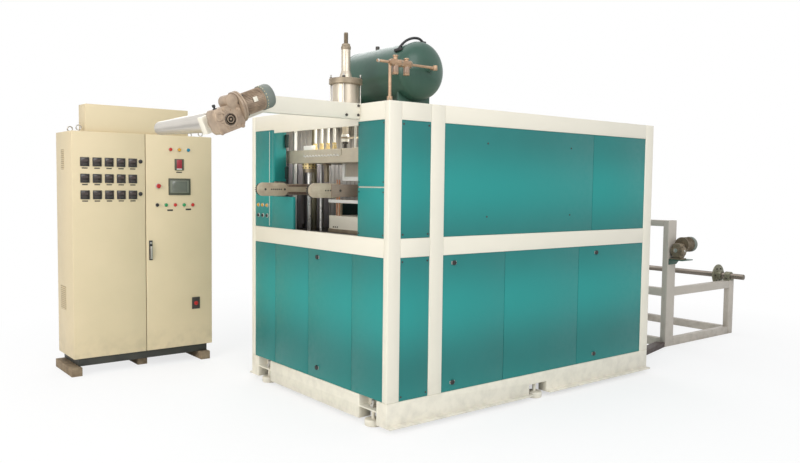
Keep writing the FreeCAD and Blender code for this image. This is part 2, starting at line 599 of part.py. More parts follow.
# Riser pipe, pressure regulator with its two filter bowls, and the pipe into the tank's socket.
VALVE_START = "(riser_place + valve_gap)"
bowls = [rod(x, "riser_depth", "tank_level - bowl_height", "bowl_radius", "bowl_height")
         for x in (f"{VALVE_START} + bowl_inset", f"{VALVE_START} + valve_length - bowl_inset")]
node("valve_group", [fused(bowls + [
    rod("riser_place", "riser_depth", "frame_height", "riser_flange", "roof_thickness"),
    rod("riser_place", "riser_depth", "frame_height", "riser_radius", "tank_level - frame_height"),
    rod("riser_place", "riser_depth", "frame_height + union_rise", "union_radius", "union_height"),
    rod("riser_place - run_back", "riser_depth", "tank_level", "run_radius",
        "tank_place - riser_place + run_back", ALONG_X),
    rod(VALVE_START, "riser_depth", "tank_level", "valve_radius", "valve_length", ALONG_X),
    rod("tank_place", "riser_depth", "tank_level - elbow_radius", "elbow_radius",
        "2 * elbow_radius"),
    rod("tank_place", "riser_depth", "tank_level", "run_radius", f"{SOCKET_FACE} - riser_depth",
        ALONG_Y),
])])

# Winder arm: a box tube that leaves the front rail and slopes down at its end.
bend = "arm_height * tan(arm_tilt / 2)"
drop_x = "arm_drop * cos(arm_tilt)"
drop_z = "arm_drop * sin(arm_tilt)"
arm_points = [
    ("0", "0"),
    ("-arm_straight", "0"),
    (f"-arm_straight - {drop_x}", f"-{drop_z}"),
    (f"arm_height * sin(arm_tilt) - arm_straight - {drop_x}",
     f"-{drop_z} - arm_height * cos(arm_tilt)"),
    (f"{bend} - arm_straight", "-arm_height"),
    ("0", "-arm_height"),
]
ARM_FAR = "(arm_side + arm_width)"
HUB_X = ("(hub_inset * cos(arm_tilt) + arm_height / 2 * sin(arm_tilt)"
         " - arm_straight - arm_drop * cos(arm_tilt))")
HUB_Z = ("(frame_height + hub_inset * sin(arm_tilt) - arm_height / 2 * cos(arm_tilt)"
         " - arm_drop * sin(arm_tilt))")
arm = plate("0", "arm_side", "frame_height", arm_points, "arm_width")
arm_bore = rod(HUB_X, "arm_side", HUB_Z, "drum_shaft + bore_play", "arm_width", ALONG_Y)
node("winder_arm", [cut(arm, [arm_bore])])

GEAR_Y = "(arm_side - gear_standoff - gear_depth)"
GEAR_FAR = f"({GEAR_Y} + gear_depth)"
gear_box = tilted(box("0", "0", "0", "gear_length", "gear_depth", "gear_height"),
                  "-gear_back", "-gear_down", GEAR_Y)
round_x, round_z = on_slope("gear_length / 2 - gear_back", "gear_height / 2 - gear_down")
gear_round = rod(round_x, GEAR_Y, round_z, "gear_round", "gear_depth", ALONG_Y)
worm_x, worm_z = on_slope("worm_along", "worm_rise")
worm_cover = rod(worm_x, f"{GEAR_Y} - worm_proud", worm_z, "worm_radius", "gear_depth", ALONG_Y)
hub = rod(HUB_X, f"{GEAR_Y} - hub_proud", HUB_Z, "hub_radius", "hub_proud", ALONG_Y)
spigot = rod(HUB_X, GEAR_FAR, HUB_Z, "drum_near_radius", "gear_standoff", ALONG_Y)
MOTOR_Y = "(arm_side - ring_radius - ring_gap)"
GEAR_END = "(gear_length - gear_back)"
MOTOR_TILT = {"up": "motor_rise", "y": MOTOR_Y, "extra": 90}
ring = tilted(rod("0", "0", "0", "ring_radius", "ring_width"), GEAR_END, **MOTOR_TILT)
gear_bore = rod(HUB_X, f"{GEAR_Y} + gear_depth / 2", HUB_Z, "drum_shaft + bore_play",
                "gear_depth / 2 + gear_standoff", ALONG_Y)
gear_block = common(gear_box, gear_round)
node("winder_gearbox", [cut(fused([gear_block, worm_cover, hub, spigot]), [gear_bore])])
node("winder_motor", [fused([
    ring,
    tilted(rod("0", "0", "0", "motor_radius", "motor_length"), f"{GEAR_END} + ring_width",
           **MOTOR_TILT),
    tilted(rod("0", "0", "0", "fan_radius", "fan_length"),
           f"{GEAR_END} + ring_width + motor_length", **MOTOR_TILT),
])])

# Winding drum: a tapered steel sleeve on a shaft from the gearbox through the arm.
DRUM_Y = f"({ARM_FAR} + drum_play)"
DRUM_PLATE_Y = f"({DRUM_Y} + drum_set)"
sleeve = cone(HUB_X, DRUM_Y, HUB_Z, "drum_near_radius", "drum_far_radius", "drum_length", ALONG_Y)
inside = cone(HUB_X, DRUM_Y, HUB_Z, "drum_near_radius - drum_wall", "drum_far_radius - drum_wall",
              "drum_length", ALONG_Y)
disc = common(
    cone(HUB_X, DRUM_Y, HUB_Z, "drum_near_radius", "drum_far_radius", "drum_length", ALONG_Y),
    rod(HUB_X, DRUM_PLATE_Y, HUB_Z, "drum_near_radius", "drum_plate", ALONG_Y))
far_disc = rod(HUB_X, f"{DRUM_Y} + drum_length - drum_plate", HUB_Z,
               "drum_far_radius - drum_wall / 2", "drum_plate", ALONG_Y)
shaft = rod(HUB_X, f"{GEAR_Y} + gear_depth / 2", HUB_Z, "drum_shaft",
            "gear_depth / 2 + gear_standoff + arm_width + drum_play + drum_set + drum_plate", ALONG_Y)
node("winder_drum", [fused([cut(sleeve, [inside]), disc, far_disc, shaft])])

# Control cabinet: sheet shell, two doors, top box, plinth and feet.
CAB_LEFT = "(cabinet_right - cabinet_width)"
CAB_BACK = "(cabinet_front + cabinet_depth)"
SHELL_FRONT = "(cabinet_front + door_thickness + door_play)"
SHELL_DEPTH = f"({CAB_BACK} - {SHELL_FRONT})"
CAB_HEIGHT = "(cabinet_top - cabinet_bottom)"
INSIDE_WIDTH = "(cabinet_width - 2 * cabinet_wall)"
node("cabinet_sides", [box(x, SHELL_FRONT, "cabinet_bottom", "cabinet_wall", SHELL_DEPTH, CAB_HEIGHT)
                       for x in (CAB_LEFT, "cabinet_right - cabinet_wall")])
node("cabinet_back", [box(f"{CAB_LEFT} + cabinet_wall", f"{CAB_BACK} - cabinet_wall",
                          "cabinet_bottom", INSIDE_WIDTH, "cabinet_wall", CAB_HEIGHT)])
node("cabinet_roof_and_floor", [box(f"{CAB_LEFT} + cabinet_wall", SHELL_FRONT, z, INSIDE_WIDTH,
                                    f"{SHELL_DEPTH} - cabinet_wall", "cabinet_wall")
                                for z in ("cabinet_bottom", "cabinet_top - cabinet_wall")])
DOOR_SPLIT = f"({CAB_LEFT} + door_step)"
node("cabinet_door_left", [box(CAB_LEFT, "cabinet_front", "cabinet_bottom", "door_step",
                               "door_thickness", CAB_HEIGHT)])
RIGHT_DOOR = f"({DOOR_SPLIT} + door_gap)"
node("cabinet_door_right", [box(RIGHT_DOOR, "cabinet_front", "cabinet_bottom",
                                f"cabinet_right - {RIGHT_DOOR}", "door_thickness", CAB_HEIGHT)])
node("cabinet_top_box", [box(f"{CAB_LEFT} + top_box_start", "cabinet_front + top_box_inset",
                             "cabinet_top", "top_box_width", "top_box_depth", "top_box_height")])
PLINTH_FOOT = "(cabinet_bottom - plinth_height)"
node("cabinet_plinth", [box(f"{CAB_LEFT} + plinth_inset", SHELL_FRONT, PLINTH_FOOT,
                            "cabinet_width - 2 * plinth_inset", SHELL_DEPTH, "plinth_height")])
feet_x = [f"{CAB_LEFT} - foot_out", f"{DOOR_SPLIT} - cabinet_foot_width / 2",
          "cabinet_right - foot_right_inset - cabinet_foot_width"]
feet_y = ["cabinet_front - cabinet_foot_front", "cabinet_front + 4 * cabinet_foot_front",
          "cabinet_front - cabinet_foot_front"]
node("cabinet_feet", [box(x, y, "0", "cabinet_foot_width", f"{CAB_BACK} - ({y})", PLINTH_FOOT)
                      for x, y in zip(feet_x, feet_y)])


def on_door(start, bottom, width, height, proud):
    """A block on the face of the cabinet's doors."""
    return box(start, f"cabinet_front - {proud}", bottom, width, proud, height)


def knob(start, level, radius, proud):
    return rod(start, f"cabinet_front - {proud}", level, radius, proud, ALONG_Y)


node("temperature_controllers", [
    on_door(f"{CAB_LEFT} + dial_start + {column} * dial_pitch",
            f"dial_top - dial_size - {row} * dial_drop", "dial_size", "dial_size", "dial_proud")
    for row in range(3) for column in range(5)])
keys = [knob(f"{RIGHT_DOOR} + key_start + {index} * key_pitch", "key_level", "lamp_radius",
             "lamp_proud") for index in range(5)]
lamps = [knob(f"{RIGHT_DOOR} + lamp_start + {index} * lamp_pitch", "lamp_level", "lamp_radius",
              "lamp_proud") for index in range(3)]
stop_button = knob(f"{RIGHT_DOOR} + stop_start", "stop_level", "stop_radius", "stop_proud")
node("door_buttons", keys + lamps + [stop_button])
node("door_screens", [
    on_door(f"{RIGHT_DOOR} + screen_start", "screen_foot", "screen_width", "screen_height",
            "bezel_proud"),
    on_door(f"{RIGHT_DOOR} + meter_start", "meter_foot", "meter_width", "meter_height",
            "bezel_proud"),
    on_door(f"{RIGHT_DOOR} + switch_start", "switch_foot", "switch_width", "switch_height",
            "bezel_proud")])
node("cabinet_handle", [on_door(f"{RIGHT_DOOR} + handle_start", "handle_foot", "handle_width",
                                "handle_height", "handle_proud")])
eyes = []
for x in (f"{CAB_LEFT} + eye_edge", "cabinet_right - eye_edge"):
    for y in ("cabinet_front + eye_front", f"{CAB_BACK} - eye_back"):
        ring_eye = doc.addObject("Part::Torus", "Eye")
        bind(ring_eye, Radius1="eye_radius", Radius2="eye_wire")
        place(ring_eye, x, y, "cabinet_top + eye_radius + 2 * eye_wire", ALONG_Y)
        foot = rod(x, y, "cabinet_top", "2 * eye_wire", "3 * eye_wire")
        eyes.append(fused([ring_eye, foot]))
node("lifting_eyes", eyes)

# Unwinder stand: two posts, cross bars, low arms with a reel shaft on bearings.
STAND_YS = ("stand_near", "stand_far - stand_tube")
BETWEEN = "stand_far - stand_near - 2 * stand_tube"
STAND_END = "(stand_start + stand_reach)"
ARMS_X = "(stand_start + stand_post_width)"
ARM_LEVEL = "(stand_mid_level + stand_bar)"
END_POST = f"({STAND_END} - end_post_width)"
stand_posts = [box("stand_start", y, "0", "stand_post_width", "stand_tube", "stand_height")
               for y in STAND_YS]
stand_posts += [box(END_POST, y, "0", "end_post_width", "stand_tube", ARM_LEVEL) for y in STAND_YS]
node("stand_posts", stand_posts)
node("stand_cross_bars", [
    box("stand_start", "stand_near + stand_tube", "stand_height - stand_top_bar", "stand_tube",
        BETWEEN, "stand_top_bar"),
    box("stand_start", "stand_near + stand_tube", "stand_mid_level", "stand_tube", BETWEEN,
        "stand_bar"),
    box("stand_start", "stand_near + stand_tube", "0", "stand_tube", BETWEEN, "stand_bar"),
    box(END_POST, "stand_near + stand_tube", "0", "stand_tube", BETWEEN, "stand_bar"),
])
node("stand_arms", [box(ARMS_X, y, z, f"{END_POST} - {ARMS_X}", "stand_tube", "stand_bar")
                    for y in STAND_YS for z in ("0", "stand_mid_level")])

SHAFT_X = f"({STAND_END} - shaft_inset)"
SHAFT_Y = "(stand_near - shaft_near_out)"
SHAFT_LENGTH = "(stand_far + shaft_far_out - stand_near + shaft_near_out)"
node("reel_shaft", [rod(SHAFT_X, SHAFT_Y, "shaft_level", "shaft_radius", SHAFT_LENGTH, ALONG_Y)])
bearings = []
for y in STAND_YS:
    flange = box(f"{SHAFT_X} - bearing_length / 2", y, ARM_LEVEL, "bearing_length", "stand_tube",
                 "bearing_flange")
    cheeks = box(f"{SHAFT_X} - bearing_round", y, ARM_LEVEL, "2 * bearing_round", "stand_tube",
                 f"shaft_level - {ARM_LEVEL}")
    crown = rod(SHAFT_X, y, "shaft_level", "bearing_round", "stand_tube", ALONG_Y)
    bore = rod(SHAFT_X, y, "shaft_level", "shaft_radius + bearing_play", "stand_tube", ALONG_Y)
    bearings.append(cut(fused([flange, cheeks, crown]), [bore]))
node("bearing_blocks", bearings)
DISC_Y = "(stand_near + stand_tube + disc_place)"
disc_and_boss = fused([
    rod(SHAFT_X, DISC_Y, "shaft_level", "disc_radius", "disc_width", ALONG_Y),
    rod(SHAFT_X, f"{DISC_Y} - boss_width", "shaft_level", "boss_radius", "boss_width", ALONG_Y)])
disc_bore = rod(SHAFT_X, f"{DISC_Y} - boss_width", "shaft_level", "shaft_radius",
                "boss_width + disc_width", ALONG_Y)
node("reel_disc", [cut(disc_and_boss, [disc_bore])])

# Feed gear motor on its bracket on the near post.
BRACKET_X = "(stand_start + bracket_start)"
BRACKET_Y = "(stand_near - bracket_out)"
shelf = box(BRACKET_X, BRACKET_Y, "bracket_top - bracket_plate", "bracket_reach", "bracket_out",
            "bracket_plate")
web_points = [("0", "0"), ("0", "-bracket_web"), ("stand_post_width - bracket_start", "-bracket_web"),
              ("bracket_reach", "0")]
web = plate(BRACKET_X, "stand_near - bracket_plate", "bracket_top - bracket_plate", web_points,
            "bracket_plate")
node("feed_bracket", [fused([shelf, web])])
FEED_Y = f"({BRACKET_Y} + (bracket_out - feed_gear_depth) / 2)"
FEED_MOTOR_Z = "(bracket_top + feed_motor_level)"
node("feed_gear_motor", [fused([
    box(BRACKET_X, FEED_Y, "bracket_top", "feed_gear_length", "feed_gear_depth",
        "feed_gear_height"),
    rod(f"{BRACKET_X} + feed_gear_length", f"{FEED_Y} + feed_gear_depth / 2", FEED_MOTOR_Z,
        "feed_motor_radius", "feed_motor_length", ALONG_X),
])])

# Cable tray on the floor from the machine to the stand.
TRAY_X = "(frame_length + tray_width * sin(tray_turn) + tray_fit)"
tray = box(TRAY_X, "tray_near", "0", f"(stand_start - tray_fit - {TRAY_X}) / cos(tray_turn)",
           "tray_width", "tray_height", FreeCAD.Rotation(FreeCAD.Vector(0, 0, 1), 10))
tray.setExpression("Placement.Rotation.Angle", sized("tray_turn"))
node("cable_tray", [tray])

doc.recompute()
failed = [piece.Label for piece in doc.Objects if "Invalid" in piece.State or "Error" in piece.State]
assert not failed, f"pieces that could not be made: {failed}"
for piece in NODES:
    assert not piece.Shape.isNull() and piece.Shape.isValid(), f"{piece.Label} is not a sound solid"
os.makedirs("parts", exist_ok=True)
for piece in NODES:
    piece.Shape.exportStep(f"parts/{piece.Label}.step")
whole = Part.makeCompound([piece.Shape for piece in NODES]).BoundBox
print(len(NODES), "pieces", whole)
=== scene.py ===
import bpy
import bmesh
import json
import math
from mathutils import Matrix, Vector


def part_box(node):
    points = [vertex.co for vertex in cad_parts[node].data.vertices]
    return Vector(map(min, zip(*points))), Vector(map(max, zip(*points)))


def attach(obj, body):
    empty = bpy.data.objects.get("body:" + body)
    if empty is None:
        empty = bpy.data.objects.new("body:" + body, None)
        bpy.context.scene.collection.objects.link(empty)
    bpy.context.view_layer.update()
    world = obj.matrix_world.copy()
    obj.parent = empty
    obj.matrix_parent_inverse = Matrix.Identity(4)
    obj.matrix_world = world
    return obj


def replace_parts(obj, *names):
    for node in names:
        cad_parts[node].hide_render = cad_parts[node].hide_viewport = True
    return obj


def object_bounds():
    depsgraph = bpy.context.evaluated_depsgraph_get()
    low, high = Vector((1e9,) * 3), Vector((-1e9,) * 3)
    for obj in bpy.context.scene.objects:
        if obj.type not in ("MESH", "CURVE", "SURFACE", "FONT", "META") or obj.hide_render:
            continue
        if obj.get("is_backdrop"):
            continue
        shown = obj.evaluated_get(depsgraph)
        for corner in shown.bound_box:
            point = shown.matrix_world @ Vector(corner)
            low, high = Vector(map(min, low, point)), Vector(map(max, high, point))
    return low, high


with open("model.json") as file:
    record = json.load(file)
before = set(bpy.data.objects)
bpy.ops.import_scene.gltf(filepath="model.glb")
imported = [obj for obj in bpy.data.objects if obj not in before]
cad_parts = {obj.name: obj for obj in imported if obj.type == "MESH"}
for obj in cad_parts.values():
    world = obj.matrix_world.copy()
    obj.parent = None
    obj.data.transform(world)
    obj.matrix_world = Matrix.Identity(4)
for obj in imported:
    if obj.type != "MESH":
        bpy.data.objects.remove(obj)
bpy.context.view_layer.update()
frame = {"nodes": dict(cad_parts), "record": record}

# The studio: a pale floor, a white surround and large soft lamps, seen from eye height
# beside the discharge end, as in the photograph.
scene = bpy.context.scene
scene.view_settings.view_transform = "Standard"
post_low, post_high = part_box("frame_posts")
corner = Vector((post_low.x, post_low.y, 0.0))
up = Vector((0, 0, 1))
white = (1.0, 1.0, 1.0)


def at(x, y, z):
    """A point given from the near front corner of the machine's frame, in metres."""
    return corner + Vector((x, y, z))


def placed(name, data):
    """Put new data into the scene as an object."""
    made = bpy.data.objects.new(name, data)
    scene.collection.objects.link(made)
    return made


camera_data = bpy.data.cameras.new("camera")
camera_data.lens = 34.64
camera_data.sensor_width = 36.0
camera_data.clip_end = 200.0
camera_yaw, camera_pitch, camera_roll = 0.6726, 0.0607, 0.012
turn = (Matrix.Rotation(-camera_yaw, 4, "Z") @ Matrix.Rotation(math.pi / 2 - camera_pitch, 4, "X")
        @ Matrix.Rotation(camera_roll, 4, "Z"))
scene.camera = placed("camera", camera_data)
scene.camera.matrix_world = Matrix.Translation(at(-2.9254, -3.789, 1.5784)) @ turn


def lamp(name, place, target, size, power, colour=white):
    """A large soft lamp that faces a point of the object."""
    data = bpy.data.lights.new(name, "AREA")
    data.shape = "SQUARE"
    data.size = size
    data.energy = power
    data.color = colour
    made = placed(name, data)
    made.location = place
    made.rotation_euler = (target - place).to_track_quat("-Z", "Y").to_euler()
    return made


middle = Vector((-0.5, -0.4, 1.1))
lamp("lamp_long_side", middle + Vector((-2.2, -9.0, 5.0)), middle, 6.0, 395.0, (0.98, 0.99, 1.0))
lamp("lamp_front", middle + Vector((-9.0, -2.0, 2.8)), middle, 5.0, 350.0, (1.0, 0.97, 0.92))
lamp("lamp_above", middle + Vector((0.0, 1.0, 9.0)), middle, 8.0, 225.0)
lamp("lamp_behind", middle + Vector((3.0, 9.0, 5.0)), middle, 7.0, 260.0)
bay_lamp = lamp("lamp_bay", at(0.55, 0.95, 2.06), at(0.45, 0.95, 1.2), 0.7, 16.0)
bay_lamp.visible_camera = False
bay_lamp.visible_glossy = False


def fill(node, inputs):
    """Give a node's inputs their values, or link them to the outputs of other nodes."""
    for key, value in inputs.items():
        if isinstance(value, bpy.types.NodeSocket):
            node.id_data.links.new(value, node.inputs[key])
        else:
            node.inputs[key].default_value = value


def add_node(tree, kind, inputs, out=0, **settings):
    """Add a node with its settings and inputs, and hand back one output, or all of them."""
    made = tree.nodes.new(kind)
    for key, value in settings.items():
        setattr(made, key, value)
    fill(made, inputs)
    return made.outputs if out is None else made.outputs[out]


def computed(tree, operation, *values):
    return add_node(tree, "ShaderNodeMath", dict(enumerate(values)), operation=operation)


# The world lights the machine softly, and is plain white where the camera, a reflection or
# glass looks at it.
world = bpy.data.worlds.new("surround")
scene.world = world
world.use_nodes = True
sky = world.node_tree
fill(sky.nodes["Background"], {"Color": (0.96, 0.98, 1.0, 1.0), "Strength": 0.46})
path = add_node(sky, "ShaderNodeLightPath", {}, None)
looked_at = computed(sky, "MAXIMUM", path["Is Camera Ray"], path["Is Glossy Ray"])
looked_at = computed(sky, "MAXIMUM", looked_at, path["Is Transmission Ray"])
backdrop = add_node(sky, "ShaderNodeBackground", {"Strength": 1.0, "Color": (*white, 1.0)})
mixed = add_node(sky, "ShaderNodeMixShader", {0: looked_at, 1: sky.nodes["Background"].outputs[0],
                                              2: backdrop})
fill(sky.nodes["World Output"], {"Surface": mixed})

# The floor fades to white away from the machine.
floor_mesh = bpy.data.meshes.new("floor")
reach = 30.0
floor_mesh.from_pydata([(-reach, -reach, 0), (reach, -reach, 0), (reach, reach, 0),
                        (-reach, reach, 0)], [], [(0, 1, 2, 3)])
floor = placed("floor", floor_mesh)
floor.location.z = -0.001
floor_paint = bpy.data.materials.new("pale floor")
floor_paint.use_nodes = True
floor_tree = floor_paint.node_tree
floor_shader = floor_tree.nodes["Principled BSDF"]
fill(floor_shader, {"Base Color": (0.95, 0.95, 0.95, 1.0), "Roughness": 0.9,
                    "Specular IOR Level": 0.1})
floor_place = add_node(floor_tree, "ShaderNodeTexCoord", {}, "Object")
floor_span = add_node(floor_tree, "ShaderNodeVectorMath", {0: floor_place}, "Value",
                      operation="LENGTH")
floor_fade = add_node(floor_tree, "ShaderNodeMapRange", {"Value": floor_span, "From Min": 1.0,
                                                         "From Max": 5.0, "To Min": 0.55})
floor_seen = computed(floor_tree, "MULTIPLY", floor_fade,
                      add_node(floor_tree, "ShaderNodeLightPath", {}, "Is Camera Ray"))
floor_glow = add_node(floor_tree, "ShaderNodeEmission", {"Color": (*white, 1.0)})
floor_mix = add_node(floor_tree, "ShaderNodeMixShader", {0: floor_seen, 1: floor_shader.outputs[0],
                                                         2: floor_glow})
fill(floor_tree.nodes["Material Output"], {"Surface": floor_mix})
floor_mesh.materials.append(floor_paint)
floor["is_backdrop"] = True


# The frame is box tube and channel, welded, ground and sprayed with a cream white enamel
# that has a light orange peel and gathers dust and scuffs near the floor.
def finish(name, colour, other, rough=0.4, spots=3.0, peel=0.004, peel_scale=220.0, metal=0.0,
           coat=0.0, dirt=None, dirt_top=0.35, grain=None, scuff=0.05, shine=0.4, band=None):
    """A finish with patchy colour, patchy gloss, fine bump, grime near the floor and an optional band
    of painted light by height.
    """
    material = bpy.data.materials.new(name)
    material.use_nodes = True
    tree = material.node_tree
    place = add_node(tree, "ShaderNodeTexCoord", {}, "Object")

    def noise(scale, detail=4.0, stretch=None):
        source = place
        if stretch:
            source = add_node(tree, "ShaderNodeMapping", {"Vector": place, "Scale": stretch})
        return add_node(tree, "ShaderNodeTexNoise", {"Vector": source, "Scale": scale,
                                                     "Detail": detail}, "Fac")

    def spread(value, low, high, start=0.3, stop=0.7):
        return add_node(tree, "ShaderNodeMapRange", {"Value": value, "From Min": start,
                                                     "From Max": stop, "To Min": low, "To Max": high})

    def blended(share, first, second):
        first, second = [(*end, 1.0) if isinstance(end, tuple) else end for end in (first, second)]
        return add_node(tree, "ShaderNodeMix", {"Factor": share, 6: first, 7: second}, 2,
                        data_type="RGBA")

    colours = blended(spread(noise(spots), 0.0, 1.0), colour, other)
    if grain:
        streak_scale, stretch = grain
        colours = blended(spread(noise(streak_scale, 3.0, stretch), 0.0, 0.5), colours, other)
    height = add_node(tree, "ShaderNodeSeparateXYZ", {0: place}, "Z")
    # Painted light: a lighter band by height, repeating up the surface, stands in for light falling
    # on it.
    if band:
        painted_light_colour, band_length, band_height = band
        angle = 2 * math.pi / band_length
        wave = computed(tree, "COSINE", computed(tree, "MULTIPLY_ADD", height, angle,
                                                 -angle * band_height))
        colours = blended(spread(wave, 0.0, 1.0, -1.0, 1.0), colours, painted_light_colour)
    if dirt:
        dusty = computed(tree, "MULTIPLY", spread(height, 1.0, 0.0, 0.0, dirt_top),
                         spread(noise(14.0, 6.0), 0.0, 0.45, 0.42, 0.72))
        colours = blended(dusty, colours, dirt)
    gloss = spread(noise(26.0, 5.0), max(rough - scuff, 0.04), min(rough + scuff, 1.0))
    shader = tree.nodes["Principled BSDF"]
    fill(shader, {"Base Color": colours, "Roughness": gloss, "Metallic": metal,
                  "Specular IOR Level": shine, "Coat Weight": coat, "Coat Roughness": 0.12})
    if peel:
        rise = noise(peel_scale, 3.0, grain[1] if grain else None)
        fill(shader, {"Normal": add_node(tree, "ShaderNodeBump", {
            "Strength": 0.25, "Distance": peel * 0.01, "Height": rise}, "Normal")})
    return material


body_of_node = {node: body for body, nodes in frame["record"]["behaviour"]["bodies"].items()
                for node in nodes}


def shape(name, material, form, body="machine", smooth=38.0):
    """Close a form as a piece that rides on a body, with soft shading between sharp edges."""
    bmesh.ops.recalc_face_normals(form, faces=form.faces)
    mesh = bpy.data.meshes.new(name)
    form.to_mesh(mesh)
    form.free()
    mesh.materials.append(material)
    mesh.shade_smooth()
    mesh.set_sharp_from_angle(angle=math.radians(smooth))
    made = placed(name, mesh)
    if body:
        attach(made, body)
    return made


def dressed(node, material, edge=0.002):
    """Stand in for a CAD node with a copy whose sharp edges are rounded."""
    form = bmesh.new()
    form.from_mesh(frame["nodes"][node].data)
    bmesh.ops.remove_doubles(form, verts=form.verts, dist=0.00002)
    bmesh.ops.dissolve_limit(form, angle_limit=math.radians(1.0), verts=form.verts,
                             edges=form.edges)
    sharp = [line for line in form.edges
             if line.is_manifold and line.calc_face_angle(0.0) > math.radians(40.0)]
    bmesh.ops.bevel(form, geom=sharp, offset=edge, segments=2, profile=0.5, affect="EDGES",
                    clamp_overlap=True)
    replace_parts(shape(node + "_finished", material, form, body_of_node[node]), node)


def block(form, low, high, edge=0.0, turned_by=None):
    """Add a block between two corners, its edges rounded."""
    low, high = Vector(low), Vector(high)
    points = bmesh.ops.create_cube(form, size=1.0)["verts"]
    for point in points:
        point.co = Vector([low[i] + (point.co[i] + 0.5) * (high[i] - low[i]) for i in range(3)])
    if turned_by:
        bmesh.ops.rotate(form, cent=(low + high) / 2, matrix=turned_by, verts=points)
    if edge:
        lines = {line for point in points for line in point.link_edges}
        bmesh.ops.bevel(form, geom=list(lines), offset=edge, segments=2, profile=0.5,
                        affect="EDGES")
    return form


def turned(form, profile, base, axis, sides=24, phase=0.0):
    """Add a turned form: pairs of radius and height around an axis from a point. The ends
    are closed to the axis unless the profile ends where it starts."""
    if profile[0] != profile[-1]:
        profile = [(0, profile[0][1])] * bool(profile[0][0]) + profile
        profile = profile + [(0, profile[-1][1])] * bool(profile[-1][0])
    axis = Vector(axis).normalized()
    across = axis.orthogonal().normalized()
    other = axis.cross(across)
    rings = []
    for radius, height in profile:
        centre = Vector(base) + axis * height
        count = sides if radius else 1
        angles = [phase + 2 * math.pi * index / sides for index in range(count)]
        rings.append([form.verts.new(centre + radius * (across * math.cos(angle)
                                                        + other * math.sin(angle)))
                      for angle in angles])
    for low, high in zip(rings, rings[1:]):
        for index in range(sides):
            after = (index + 1) % sides
            ends = (low[index % len(low)], low[after % len(low)],
                    high[after % len(high)], high[index % len(high)])
            ends = list(dict.fromkeys(ends))
            if len(ends) > 2:
                form.faces.new(ends)
    return form


def nut(form, base, axis, across, height):
    """Add a hexagon nut with its chamfered top."""
    radius = across / math.sqrt(3)
    return turned(form, [(radius, 0), (radius, height * 0.86), (radius * 0.9, height)],
                  base, axis, 6)


def new_tree(name, *sockets):
    """A node tree that makes one geometry from the inputs named here."""
    tree = bpy.data.node_groups.new(name, "GeometryNodeTree")
    tree.interface.new_socket("Geometry", in_out="OUTPUT", socket_type="NodeSocketGeometry")
    for kind, label in (("Geometry", "Geometry"), ("Object", "Piece"), ("Material", "Finish"),
                        *sockets):
        tree.interface.new_socket(label, in_out="INPUT", socket_type="NodeSocket" + kind)
    return tree, add_node(tree, "NodeGroupInput", {}, None)


def copied(tree, given, **inputs):
    """Copies of the given piece on points, made real."""
    inputs["Instance"] = add_node(tree, "GeometryNodeObjectInfo", {"Object": given["Piece"]},
                                  "Geometry")
    copies = add_node(tree, "GeometryNodeInstanceOnPoints", inputs)
    return add_node(tree, "GeometryNodeRealizeInstances", {0: copies})


def painted(tree, given, geometry):
    """End a tree with the geometry in the given finish."""
    finished = add_node(tree, "GeometryNodeSetMaterial", {"Geometry": geometry,
                                                          "Material": given["Finish"]})
    add_node(tree, "NodeGroupOutput", {0: finished}, None)


# A repeated piece stands in rows and columns.
rows_tree, given = new_tree("rows of a piece", ("Int", "Across"), ("Int", "Up"), ("Vector", "Start"),
                            ("Vector", "Step Across"), ("Vector", "Step Up"))
row_line = add_node(rows_tree, "GeometryNodeMeshLine", {
    "Count": given["Across"], "Start Location": given["Start"], "Offset": given["Step Across"]})
column_line = add_node(rows_tree, "GeometryNodeMeshLine", {"Count": given["Up"],
                                                           "Offset": given["Step Up"]})
columns = add_node(rows_tree, "GeometryNodeInstanceOnPoints", {"Points": row_line,
                                                               "Instance": column_line})
places = add_node(rows_tree, "GeometryNodeRealizeInstances", {0: columns})
painted(rows_tree, given, copied(rows_tree, given, Points=places))

# A repeated piece stands evenly around an axis.
ring_tree, given = new_tree("ring of a piece", ("Int", "Count"), ("Float", "Radius"),
                            ("Float", "Phase"), ("Vector", "Centre"), ("Vector", "Turn"))
share = computed(ring_tree, "DIVIDE", add_node(ring_tree, "GeometryNodeInputIndex", {}),
                 given["Count"])
angle = computed(ring_tree, "MULTIPLY_ADD", share, 2 * math.pi, given["Phase"])
spin = add_node(ring_tree, "ShaderNodeCombineXYZ", {"Z": angle})
reach_out = add_node(ring_tree, "ShaderNodeCombineXYZ", {"X": given["Radius"]})
place = add_node(ring_tree, "ShaderNodeVectorRotate", {"Vector": reach_out, "Angle": angle},
                 rotation_type="Z_AXIS")
marks = add_node(ring_tree, "GeometryNodePoints", {"Count": given["Count"]})
places = add_node(ring_tree, "GeometryNodeSetPosition", {"Geometry": marks, "Position": place})
copies = copied(ring_tree, given, Points=places,
                Rotation=add_node(ring_tree, "FunctionNodeEulerToRotation", {0: spin}))
whole_turn = add_node(ring_tree, "FunctionNodeEulerToRotation", {0: given["Turn"]})
painted(ring_tree, given, add_node(ring_tree, "GeometryNodeTransform", {
    "Geometry": copies, "Translation": given["Centre"], "Rotation": whole_turn}))


def plain_mesh(host):
    """The mesh that a modifier or a curve gives, without its host."""
    graph = bpy.context.evaluated_depsgraph_get()
    mesh = bpy.data.meshes.new_from_object(host.evaluated_get(graph))
    bpy.data.objects.remove(host)
    return mesh


def repeated(name, tree, form, material, body, **inputs):
    """Repeat a form with a node tree, and keep the result as one plain piece."""
    piece = shape(name + "_piece", material, form, None)
    host = placed(name + "_host", bpy.data.meshes.new(name + "_host"))
    modifier = host.modifiers.new(name, "NODES")
    modifier.node_group = tree
    values = {key.replace("_", " ").title(): value for key, value in inputs.items()}
    values.update({"Piece": piece, "Finish": material})
    for entry in tree.interface.items_tree:
        if entry.in_out == "INPUT" and entry.name in values:
            modifier[entry.identifier] = values[entry.name]
    mesh = plain_mesh(host)
    mesh.name = name
    bpy.data.objects.remove(piece)
    made = placed(name, mesh)
    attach(made, body)
    return made


